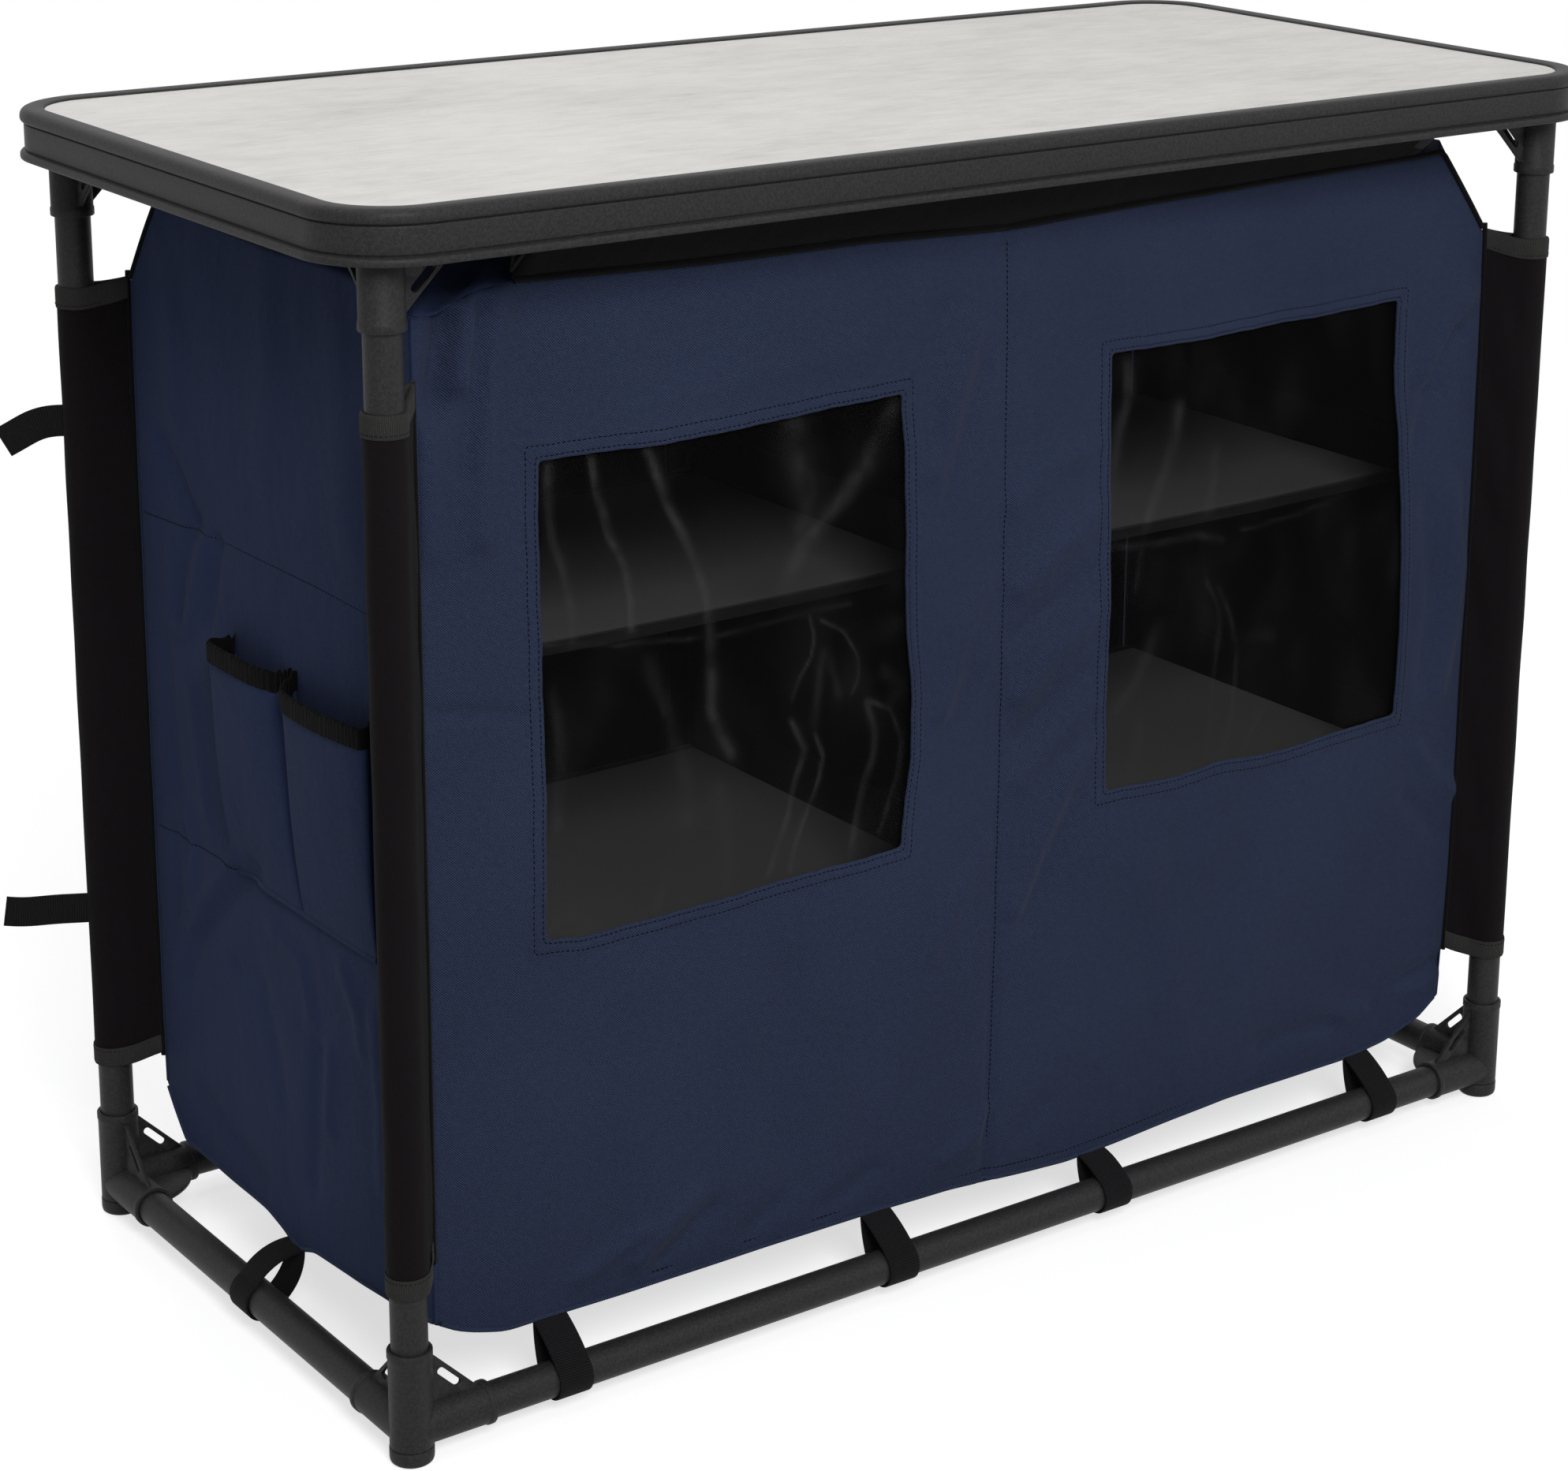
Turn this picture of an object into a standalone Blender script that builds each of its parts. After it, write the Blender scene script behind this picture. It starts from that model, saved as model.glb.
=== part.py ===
"""Fabric camp kitchen cupboard.

A stone-look worktop in a moulded rim stands on a plug-together tube frame. A fabric cabinet with a
windowed front, four shelves, two zip doors at the rear and an expanding pocket hangs inside the frame.

Metres, +Z up. The origin is on the ground under the middle of the cupboard. +X runs along the long
side, and -Y faces the windowed front.
"""
import math

import bmesh
import bpy
from mathutils import Matrix, Vector

MM = 0.001

# Worktop
WORKTOP_LENGTH = 1026 * MM
WORKTOP_DEPTH = 490 * MM
WORKTOP_HEIGHT = 800 * MM
WORKTOP_CORNER_RADIUS = 58 * MM
BOARD_THICKNESS = 3.5 * MM
BOARD_EDGE_COVER = 12 * MM
BOARD_STEP = 0.5 * MM

# Rim section
RIM_WIDTH = 16 * MM
RIM_DROP = 31.5 * MM
RIM_WALL = 3 * MM
RIM_BEAD_RISE = 1.8 * MM
RIM_EDGE_RADIUS = 3 * MM
RIM_GROOVE_DROP = 5.7 * MM
RIM_GROOVE_DEPTH = 0.7 * MM
RIM_GROOVE_WIDTH = 1.2 * MM
RIM_LIP_HEIGHT = 4.6 * MM
RIM_LIP_REACH = 0.8 * MM
RIM_SHELF_THICKNESS = 2 * MM
RIM_SHELF_WIDTH = 8 * MM

# Tube frame
LEG_INSET_X = 39 * MM
LEG_INSET_Y = 33.7 * MM
TUBE_RADIUS = 11.85 * MM
TUBE_WALL = 1.2 * MM
LOWER_RAIL_HEIGHT = 22.55 * MM

# Corner connector
POST_RADIUS = 14.0 * MM
ARM_RADIUS = 13.7 * MM
COLLAR_RADIUS = 14.5 * MM
COLLAR_LENGTH = 5 * MM
SOCKET_REACH = 55 * MM
TUBE_STOP = 15.5 * MM
SOCKET_CLEARANCE = 0.3 * MM
WEB_REACH = 49 * MM
WEB_THICKNESS = 3 * MM
WEB_SLOT_LENGTH = 21 * MM
WEB_SLOT_WIDTH = 5 * MM
WEB_SLOT_MARGIN = 3 * MM
FLAT_WEB_RADIUS = 50 * MM

# Foot cap
FOOT_RADIUS = 14.3 * MM
FOOT_HEIGHT = 10.8 * MM
FOOT_CHAMFER = 1.5 * MM
FOOT_SPIGOT_RADIUS = 8 * MM
FOOT_SPIGOT_LENGTH = 8.5 * MM

# Fabric cabinet
WING_X = 30.5 * MM
WING_Y = 21.3 * MM
CABINET_DROP = 55 * MM
CABINET_BOTTOM = 55 * MM
FABRIC = 1.2 * MM
TOP_CUT_X = 43.5 * MM
TOP_CUT_Y = 45 * MM
TOP_CUT_Z = 62 * MM
BOTTOM_CUT_X = 30 * MM
BOTTOM_CUT_Y = 30 * MM
BOTTOM_CUT_Z = 40 * MM

# Windows
WINDOW_HEIGHT = 317 * MM
WINDOW_TOP_MARGIN = 107 * MM
WINDOW_SIDE_MARGIN = 80.5 * MM
WINDOW_MIDDLE_MARGIN = 89 * MM
WINDOW_CORNER_RADIUS = 6 * MM
FILM_THICKNESS = 0.8 * MM
FILM_MARGIN = 12 * MM

# Hang of the windowed front
HANG_STEP = 36 * MM
FRONT_BULGE = 8 * MM
FOLD_HEIGHT = 3.5 * MM
FOLD_HALF_WIDTH = 30 * MM
BULGE_SHAPE = 2.5
EDGE_SHAPE = 6
# Each fold runs between two places, as shares of the cabinet's half width and of its height
FOLD_SHARES = (((-0.82, 0.96), (-0.90, 0.74)),
               ((0.74, 0.97), (0.64, 0.84)),
               ((0.93, 0.90), (0.95, 0.66)),
               ((-0.96, 0.12), (-0.80, 0.10)))

# Shelves
UPPER_SHELF_DROP = 258 * MM
LOWER_SHELF_RISE = 213 * MM
SHELF_THICKNESS = 5 * MM
SHELF_SIDE_FLAP = 40 * MM
SHELF_FRONT_SETBACK = 65 * MM
SHELF_REAR_SETBACK = 10 * MM

# Doors
SILL_HEIGHT = 25 * MM
HEADER_HEIGHT = 30 * MM
POST_STRIP_WIDTH = 36 * MM
DOOR_GAP = 0.7 * MM
SLIDER_WIDTH = 9 * MM
SLIDER_LENGTH = 14 * MM
SLIDER_THICKNESS = 4 * MM
PULL_WIDTH = 6 * MM
PULL_LENGTH = 24 * MM
PULL_THICKNESS = 1.5 * MM
SLIDER_REST_LIFT = 5 * MM

# Fabric bands round the tubes
BAND_THICKNESS = 1.2 * MM
BAND_SLACK = 0.3 * MM
SLEEVE_END_GAP = 5 * MM
SLEEVE_FOOT_GAP = 22 * MM
TOP_FLAP_INSET = 68.5 * MM
WEBBING_THICKNESS = 1.6 * MM
LOOP_WIDTH = 25 * MM
LOOP_MIDDLE_X = 96 * MM
LOOP_INSET_X = 83.5 * MM

# Tie straps on the rear legs
TIE_WIDTH = 20 * MM
TIE_UPPER_DROP = 98 * MM
TIE_UPPER_REACH = 55.5 * MM
TIE_UPPER_TURN = math.radians(149)
TIE_LOWER_RISE = 115.5 * MM
TIE_LOWER_REACH = 69 * MM
TIE_LOWER_TURN = math.radians(155.5)

# Expanding pockets on the left wall
POCKET_REAR_Y = 62 * MM
POCKET_SPLIT_Y = -30 * MM
POCKET_FRONT_Y = -120 * MM
POCKET_RISE = 37 * MM
POCKET_HEIGHT = 145 * MM
POCKET_DEPTH = 22 * MM
POCKET_HEEL = 3 * MM
POCKET_WALL = 1.5 * MM

# Shared by all pieces
SEAT_GAP = 0.3 * MM
CUT_OVERRUN = 2 * MM
MERGE = 0.01 * MM
ROUND_SIDES = 16
CORNER_STEPS = 7
SINK_SHARE = 0.9

# Placed from the sizes above
LEG_X = WORKTOP_LENGTH / 2 - LEG_INSET_X
LEG_Y = WORKTOP_DEPTH / 2 - LEG_INSET_Y
BOARD_BOTTOM = WORKTOP_HEIGHT - BOARD_THICKNESS
UPPER_RAIL_HEIGHT = BOARD_BOTTOM - SEAT_GAP - COLLAR_RADIUS
WALL_X = LEG_X - WING_X
WALL_Y = LEG_Y - WING_Y
CABINET_TOP = WORKTOP_HEIGHT - CABINET_DROP
INNER_X = WALL_X - FABRIC - SEAT_GAP
INNER_Y = WALL_Y - FABRIC - SEAT_GAP
DOOR_BOTTOM = CABINET_BOTTOM + SILL_HEIGHT + DOOR_GAP
DOOR_TOP = CABINET_TOP - HEADER_HEIGHT - DOOR_GAP
DOOR_FREE_X = POST_STRIP_WIDTH / 2 + SEAT_GAP
WINDOW_WIDTH = WALL_X - WINDOW_MIDDLE_MARGIN - WINDOW_SIDE_MARGIN
WINDOW_CENTRE_X = WINDOW_MIDDLE_MARGIN + WINDOW_WIDTH / 2
WINDOW_BOTTOM = CABINET_TOP - WINDOW_TOP_MARGIN - WINDOW_HEIGHT
UPPER_SHELF_HEIGHT = CABINET_TOP - UPPER_SHELF_DROP
LOWER_SHELF_HEIGHT = CABINET_BOTTOM + LOWER_SHELF_RISE
POCKET_BOTTOM = LOWER_SHELF_HEIGHT + POCKET_RISE
POCKET_TOP = POCKET_BOTTOM + POCKET_HEIGHT
SLEEVE_TOP = CABINET_TOP - TOP_CUT_Z - SLEEVE_END_GAP
SLEEVE_BOTTOM = CABINET_BOTTOM + BOTTOM_CUT_Z + SLEEVE_FOOT_GAP
TIE_UPPER_HEIGHT = SLEEVE_TOP - TIE_UPPER_DROP
TIE_LOWER_HEIGHT = SLEEVE_BOTTOM + TIE_LOWER_RISE
TOP_FLAP_LENGTH = 2 * (WALL_X - TOP_FLAP_INSET)
LOOP_OUTER_X = WALL_X - LOOP_INSET_X

# Local x, y and z of an outline turned to the front (X, Z, -Y) or to the side (Y, Z, X)
FACING_FRONT = (math.pi / 2, 0, 0)
FACING_SIDE = (math.pi / 2, 0, math.pi / 2)
LYING = (0, 0, 0)
ALONG_X = (0, math.pi / 2, 0)
ALONG_Y = (-math.pi / 2, 0, 0)
UPRIGHT = (0, 0, 0)


for stale in list(bpy.data.objects):
    bpy.data.objects.remove(stale)

parts = bpy.data.collections.new("camp_kitchen_cupboard")
tools = bpy.data.collections.new("guides_and_cutters")
bpy.context.scene.collection.children.link(parts)
bpy.context.scene.collection.children.link(tools)


def surface_material(name, colour, roughness, metallic=0.0):
    """A plain finish: colour, roughness and metallic value."""
    made = bpy.data.materials.new(name)
    made.use_nodes = True
    shader = made.node_tree.nodes["Principled BSDF"]
    shader.inputs["Base Color"].default_value = (*colour, 1.0)
    shader.inputs["Roughness"].default_value = roughness
    shader.inputs["Metallic"].default_value = metallic
    return made


FRAME_GREY = surface_material("charcoal_powder_coat", (0.045, 0.045, 0.047), 0.6)
MOULDED_GREY = surface_material("charcoal_moulding", (0.047, 0.047, 0.049), 0.65)
RIM_GREY = surface_material("charcoal_rim", (0.055, 0.055, 0.058), 0.6)
STONE = surface_material("stone_laminate", (0.60, 0.58, 0.55), 0.55)
NAVY = surface_material("navy_twill", (0.022, 0.037, 0.082), 0.9)
LINING = surface_material("grey_lining", (0.10, 0.10, 0.10), 0.9)
BLACK = surface_material("black_fabric", (0.008, 0.007, 0.007), 0.9)
WEBBING = surface_material("black_webbing", (0.009, 0.009, 0.009), 0.85)
FILM = surface_material("clear_film", (0.05, 0.05, 0.05), 0.2)
ZIP_METAL = surface_material("zip_metal", (0.25, 0.25, 0.26), 0.4, 0.9)


def add_object(name, data, material, collection=parts):
    """Link a mesh or curve as a named object with its finish."""
    made = bpy.data.objects.new(name, data)
    if material is not None:
        made.data.materials.clear()
        made.data.materials.append(material)
    collection.objects.link(made)
    return made


def add_outline(curve, points):
    """Add one closed outline of straight runs to a curve."""
    spline = curve.splines.new("POLY")
    spline.points.add(len(points) - 1)
    for point, (x, y) in zip(spline.points, points):
        point.co = (x, y, 0, 1)
    spline.use_cyclic_u = True


def sheet_solid(name, outlines, thickness, material, place, facing, collection=parts):
    """A flat outline with any holes, given its thickness about its own plane."""
    curve = bpy.data.curves.new(name, "CURVE")
    curve.dimensions = "2D"
    curve.fill_mode = "BOTH"
    curve.extrude = thickness / 2
    for points in outlines:
        add_outline(curve, points)
    made = add_object(name, curve, material, collection)
    made.location = place
    made.rotation_euler = facing
    return made


def rounded_rectangle(length, depth, radius, steps=CORNER_STEPS, centre=(0, 0)):
    """Outline of a rectangle with round corners, as arcs of equal steps."""
    points = []
    corners = ((1, 1, 0.0), (-1, 1, 0.5), (-1, -1, 1.0), (1, -1, 1.5))
    for side_x, side_y, start in corners:
        arc_x = centre[0] + side_x * (length / 2 - radius)
        arc_y = centre[1] + side_y * (depth / 2 - radius)
        for step in range(steps + 1):
            angle = math.pi * (start + 0.5 * step / steps)
            points.append((arc_x + radius * math.cos(angle), arc_y + radius * math.sin(angle)))
    return points


def rectangle(low_x, high_x, low_y, high_y):
    """Outline of a rectangle from its edges."""
    return [(low_x, low_y), (high_x, low_y), (high_x, high_y), (low_x, high_y)]


def round_bar(radius, start, end, direction, place=(0, 0, 0)):
    """A solid cylinder along its direction, from start to end, as a loose cutter or block."""
    shape = bmesh.new()
    bmesh.ops.create_cone(shape, cap_ends=True, segments=ROUND_SIDES, radius1=radius,
                          radius2=radius, depth=end - start)
    bmesh.ops.translate(shape, verts=shape.verts, vec=(0, 0, (start + end) / 2))
    mesh = bpy.data.meshes.new("bar")
    shape.to_mesh(mesh)
    shape.free()
    made = add_object("bar", mesh, None, tools)
    made.rotation_euler = direction
    made.location = place
    return made


def block(low, high):
    """A box between two corners, as a loose cutter or block."""
    shape = bmesh.new()
    bmesh.ops.create_cube(shape, size=1)
    size = [top - bottom for bottom, top in zip(low, high)]
    middle = [(top + bottom) / 2 for bottom, top in zip(low, high)]
    bmesh.ops.scale(shape, verts=shape.verts, vec=size)
    bmesh.ops.translate(shape, verts=shape.verts, vec=middle)
    mesh = bpy.data.meshes.new("block")
    shape.to_mesh(mesh)
    shape.free()
    return add_object("block", mesh, None, tools)


def as_mesh_object(source):
    """Turn an outline solid into a closed mesh object in world place, and drop the curve."""
    bpy.context.view_layer.update()
    evaluated = source.evaluated_get(bpy.context.evaluated_depsgraph_get())
    mesh = bpy.data.meshes.new_from_object(evaluated)
    mesh.transform(source.matrix_world)
    shape = bmesh.new()
    shape.from_mesh(mesh)
    bmesh.ops.remove_doubles(shape, verts=shape.verts, dist=MERGE)
    shape.to_mesh(mesh)
    shape.free()
    bpy.data.objects.remove(source)
    return add_object("solid", mesh, None, tools)


def combined(base, joined=(), cut=()):
    """The mesh of a base with some solids joined to it and others then cut from it."""
    for operation, operands in (("UNION", joined), ("DIFFERENCE", cut)):
        for operand in operands:
            step = base.modifiers.new(operation, "BOOLEAN")
            step.operation = operation
            step.solver = "EXACT"
            step.object = operand
    bpy.context.view_layer.update()
    evaluated = base.evaluated_get(bpy.context.evaluated_depsgraph_get())
    mesh = bpy.data.meshes.new_from_object(evaluated)
    mesh.transform(base.matrix_world)
    for used in (base, *joined, *cut):
        bpy.data.objects.remove(used)
    return mesh


def smooth_round_faces(mesh):
    """Shade round faces smooth and keep edges crisp."""
    mesh.shade_smooth()
    mesh.set_sharp_from_angle(angle=math.radians(35))


def straight_tube(name, length, middle, direction):
    """A frame tube: an open cylinder with its wall turned inward."""
    bpy.ops.mesh.primitive_cylinder_add(vertices=ROUND_SIDES, radius=TUBE_RADIUS, depth=length,
                                        end_fill_type="NOTHING", location=middle, rotation=direction)
    tube = bpy.context.object
    tube.name = name
    for collection in list(tube.users_collection):
        collection.objects.unlink(tube)
    parts.objects.link(tube)
    tube.data.materials.append(FRAME_GREY)
    smooth_round_faces(tube.data)
    wall = tube.modifiers.new("wall", "SOLIDIFY")
    wall.thickness = TUBE_WALL
    wall.offset = -1
    wall.use_even_offset = True


def web_mesh_object(plane):
    """An upright gusset web between the post and one arm, with its slanting slot."""
    edge = POST_RADIUS * SINK_SHARE
    outline = [(0, 0), (WEB_REACH, 0), (WEB_REACH, edge), (edge, WEB_REACH), (0, WEB_REACH)]
    half_run = (WEB_SLOT_LENGTH - WEB_SLOT_WIDTH) / 2
    inward = (WEB_SLOT_MARGIN + WEB_SLOT_WIDTH / 2) / math.sqrt(2)
    centre = (WEB_REACH + edge) / 2 - inward
    slot = []
    for sign in (1, -1):
        end_x = centre + sign * half_run / math.sqrt(2)
        end_y = centre - sign * half_run / math.sqrt(2)
        start = -3 * math.pi / 4 if sign > 0 else math.pi / 4
        for step in range(5):
            angle = start + math.pi * step / 4
            slot.append((end_x + WEB_SLOT_WIDTH / 2 * math.cos(angle),
                         end_y + WEB_SLOT_WIDTH / 2 * math.sin(angle)))
    web = sheet_solid("web", [outline, slot], WEB_THICKNESS, None, (0, 0, 0), plane, tools)
    return as_mesh_object(web)


def flat_web_mesh_object():
    """The level quarter-round web between the two rail arms."""
    outline = [(0, 0)]
    for step in range(CORNER_STEPS + 1):
        angle = math.pi / 2 * step / CORNER_STEPS
        outline.append((FLAT_WEB_RADIUS * math.cos(angle), FLAT_WEB_RADIUS * math.sin(angle)))
    web = sheet_solid("flat_web", [outline], WEB_THICKNESS, None, (0, 0, 0), LYING, tools)
    return as_mesh_object(web)


def corner_mesh(with_foot_seat):
    """A three-way connector: hub at the origin, rail arms along +X and +Y, post along +Z."""
    hub_face = LOWER_RAIL_HEIGHT - FOOT_HEIGHT - SEAT_GAP
    collar_start = SOCKET_REACH - COLLAR_LENGTH
    bore = TUBE_RADIUS + SOCKET_CLEARANCE
    mouth = SOCKET_REACH + CUT_OVERRUN
    base = round_bar(POST_RADIUS, -hub_face, SOCKET_REACH, UPRIGHT)
    joined = [round_bar(ARM_RADIUS, 0, SOCKET_REACH, ALONG_X),
              round_bar(ARM_RADIUS, 0, SOCKET_REACH, ALONG_Y)]
    for direction in (UPRIGHT, ALONG_X, ALONG_Y):
        joined.append(round_bar(COLLAR_RADIUS, collar_start, SOCKET_REACH, direction))
    joined.append(web_mesh_object(FACING_FRONT))
    joined.append(web_mesh_object(FACING_SIDE))
    joined.append(flat_web_mesh_object())
    cut = [round_bar(bore, TUBE_STOP, mouth, direction) for direction in (UPRIGHT, ALONG_X, ALONG_Y)]
    cut.append(round_bar(FOOT_RADIUS + SEAT_GAP, -ARM_RADIUS - CUT_OVERRUN, -hub_face, UPRIGHT))
    if with_foot_seat:
        seat_end = -hub_face + FOOT_SPIGOT_LENGTH + SEAT_GAP - SEAT_GAP * SINK_SHARE
        cut.append(round_bar(FOOT_SPIGOT_RADIUS + SEAT_GAP, -hub_face - CUT_OVERRUN, seat_end, UPRIGHT))
    mesh = combined(base, joined, cut)
    smooth_round_faces(mesh)
    return mesh


def place_corners():
    """Four connectors at the ground, and four turned over under the worktop."""
    levels = (("lower", corner_mesh(True), LOWER_RAIL_HEIGHT, 1),
              ("upper", corner_mesh(False), UPPER_RAIL_HEIGHT, -1))
    for level, pattern, height, up in levels:
        for end, depth_side in (("front", -1), ("rear", 1)):
            for hand, length_side in (("left", -1), ("right", 1)):
                mesh = pattern.copy()
                mesh.transform(Matrix.Diagonal((-length_side, -depth_side, up, 1)))
                if length_side * depth_side * up < 0:
                    mesh.flip_normals()
                corner = add_object(f"{level}_corner_{end}_{hand}", mesh, MOULDED_GREY)
                corner.location = (length_side * LEG_X, depth_side * LEG_Y, height)


def place_tubes():
    """Legs and rails, each stopped by the hub of its connectors."""
    stop = TUBE_STOP + SEAT_GAP
    leg_bottom = LOWER_RAIL_HEIGHT + stop
    leg_top = UPPER_RAIL_HEIGHT - stop
    leg_middle = (leg_bottom + leg_top) / 2
    for end, depth_side in (("front", -1), ("rear", 1)):
        for hand, length_side in (("left", -1), ("right", 1)):
            straight_tube(f"leg_{end}_{hand}", leg_top - leg_bottom,
                          (length_side * LEG_X, depth_side * LEG_Y, leg_middle), UPRIGHT)
    for level, height in (("lower", LOWER_RAIL_HEIGHT), ("upper", UPPER_RAIL_HEIGHT)):
        for end, depth_side in (("front", -1), ("rear", 1)):
            straight_tube(f"{level}_rail_{end}", 2 * (LEG_X - stop),
                          (0, depth_side * LEG_Y, height), ALONG_X)
        for hand, length_side in (("left", -1), ("right", 1)):
            straight_tube(f"{level}_rail_{hand}", 2 * (LEG_Y - stop),
                          (length_side * LEG_X, 0, height), ALONG_Y)


def place_feet():
    """Push-in foot caps, turned round each leg's axis."""
    profile = [(0, FOOT_HEIGHT + FOOT_SPIGOT_LENGTH - SEAT_GAP),
               (FOOT_SPIGOT_RADIUS, FOOT_HEIGHT + FOOT_SPIGOT_LENGTH - SEAT_GAP),
               (FOOT_SPIGOT_RADIUS, FOOT_HEIGHT),
               (FOOT_RADIUS, FOOT_HEIGHT),
               (FOOT_RADIUS, FOOT_CHAMFER),
               (FOOT_RADIUS - FOOT_CHAMFER, 0),
               (0, 0)]
    for end, depth_side in (("front", -1), ("rear", 1)):
        for hand, length_side in (("left", -1), ("right", 1)):
            mesh = bpy.data.meshes.new("foot_profile")
            points = [(radius, 0, height) for radius, height in profile]
            edges = [(index, index + 1) for index in range(len(points) - 1)]
            mesh.from_pydata(points, edges, [])
            foot = add_object(f"foot_cap_{end}_{hand}", mesh, MOULDED_GREY)
            foot.location = (length_side * LEG_X, depth_side * LEG_Y, 0)
            turn = foot.modifiers.new("turn", "SCREW")
            turn.steps = ROUND_SIDES
            turn.render_steps = ROUND_SIDES
            turn.use_merge_vertices = True
            turn.merge_threshold = MERGE


def place_worktop():
    """The laminate board, stepped down at its edge, and the rim that grips that step."""
    levels = ((RIM_WIDTH - BOARD_EDGE_COVER, BOARD_STEP), (RIM_WIDTH + SEAT_GAP, 0))
    layers = []
    for inset, below in levels:
        outline = rounded_rectangle(WORKTOP_LENGTH - 2 * inset, WORKTOP_DEPTH - 2 * inset,
                                    WORKTOP_CORNER_RADIUS - inset)
        thickness = BOARD_THICKNESS - BOARD_STEP
        layer = sheet_solid("layer", [outline], thickness, None,
                            (0, 0, WORKTOP_HEIGHT - below - thickness / 2), LYING, tools)
        layers.append(as_mesh_object(layer))
    add_object("worktop_board", combined(layers[0], layers[1:]), STONE)

    shelf_top = -BOARD_THICKNESS - SEAT_GAP
    shelf_bottom = shelf_top - RIM_SHELF_THICKNESS
    shelf_edge = RIM_WALL + RIM_SHELF_WIDTH
    lip_top = -RIM_DROP + RIM_LIP_HEIGHT
    grip_bottom = SEAT_GAP - BOARD_STEP
    section = [(RIM_WIDTH, grip_bottom),
               (RIM_WIDTH - RIM_BEAD_RISE / 2, RIM_BEAD_RISE * SINK_SHARE),
               (RIM_WIDTH / 2, RIM_BEAD_RISE + SEAT_GAP),
               (RIM_EDGE_RADIUS, RIM_BEAD_RISE),
               (RIM_EDGE_RADIUS / 4, -RIM_EDGE_RADIUS / 4),
               (0, -RIM_EDGE_RADIUS),
               (0, -RIM_GROOVE_DROP),
               (RIM_GROOVE_DEPTH, -RIM_GROOVE_DROP - RIM_GROOVE_WIDTH / 2),
               (0, -RIM_GROOVE_DROP - RIM_GROOVE_WIDTH),
               (0, lip_top),
               (-RIM_LIP_REACH, lip_top - RIM_LIP_REACH),
               (-RIM_LIP_REACH, -RIM_DROP),
               (RIM_WALL, -RIM_DROP),
               (RIM_WALL, shelf_bottom),
               (shelf_edge, shelf_bottom),
               (shelf_edge, shelf_top),
               (RIM_WALL, shelf_top),
               (RIM_WALL, grip_bottom)]
    profile = bpy.data.curves.new("rim_section", "CURVE")
    profile.dimensions = "2D"
    add_outline(profile, section[::-1])
    guide = add_object("rim_section", profile, None, tools)
    guide.hide_render = True
    guide.display_type = "WIRE"
    path = bpy.data.curves.new("worktop_rim", "CURVE")
    path.dimensions = "2D"
    path.bevel_mode = "OBJECT"
    path.bevel_object = guide
    add_outline(path, rounded_rectangle(WORKTOP_LENGTH, WORKTOP_DEPTH, WORKTOP_CORNER_RADIUS))
    rim = add_object("worktop_rim", path, RIM_GREY)
    rim.location = (0, 0, WORKTOP_HEIGHT)


def wall_half_width(height, half_width, top_cut, bottom_cut):
    """Half the width of a cabinet wall at a height, where its corners are cut away."""
    above = max(0, height - (CABINET_TOP - TOP_CUT_Z)) / TOP_CUT_Z
    below = max(0, (CABINET_BOTTOM + BOTTOM_CUT_Z) - height) / BOTTOM_CUT_Z
    return half_width - above * top_cut - below * bottom_cut


def wall_outline(low, high, half_width, top_cut, bottom_cut):
    """Outline of a cabinet wall between two edges, its corners cut as the cabinet's are."""
    heights = (CABINET_BOTTOM, CABINET_BOTTOM + BOTTOM_CUT_Z, CABINET_TOP - TOP_CUT_Z, CABINET_TOP)
    right = [(min(high, wall_half_width(height, half_width, top_cut, bottom_cut)), height)
             for height in heights]
    left = [(max(low, -wall_half_width(height, half_width, top_cut, bottom_cut)), height)
            for height in reversed(heights)]
    return right + left


def front_relief(x, z):
    """How far the front stands out: a bulge over each window, and soft ridges along its folds.

    Both die away at the seams, so the edges stay straight."""
    middle = (CABINET_TOP + CABINET_BOTTOM) / 2
    across = 1 - abs(2 * abs(x) / WALL_X - 1) ** BULGE_SHAPE
    upward = abs((z - middle) / (CABINET_TOP - middle))
    relief = FRONT_BULGE * across * (1 - upward ** EDGE_SHAPE)
    place = Vector((x, z))
    held = (1 - abs(x / WALL_X) ** EDGE_SHAPE) * (1 - upward ** (2 * EDGE_SHAPE))
    for shares in FOLD_SHARES:
        start, end = (Vector((share_x * WALL_X, CABINET_BOTTOM + share_z * (CABINET_TOP - CABINET_BOTTOM)))
                      for share_x, share_z in shares)
        run = end - start
        along = max(0, min(1, (place - start).dot(run) / run.length_squared))
        away = (place - start - along * run).length
        relief += FOLD_HEIGHT * held * math.exp(-(away / FOLD_HALF_WIDTH) ** 2)
    return relief


def stops(places, step):
    """Places from the first to the last that pass through each, no further apart than a step."""
    found = [places[0]]
    for low, high in zip(places, places[1:]):
        count = math.ceil((high - low) / step)
        found += [low + (high - low) * number / count for number in range(1, count + 1)]
    return found


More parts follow.
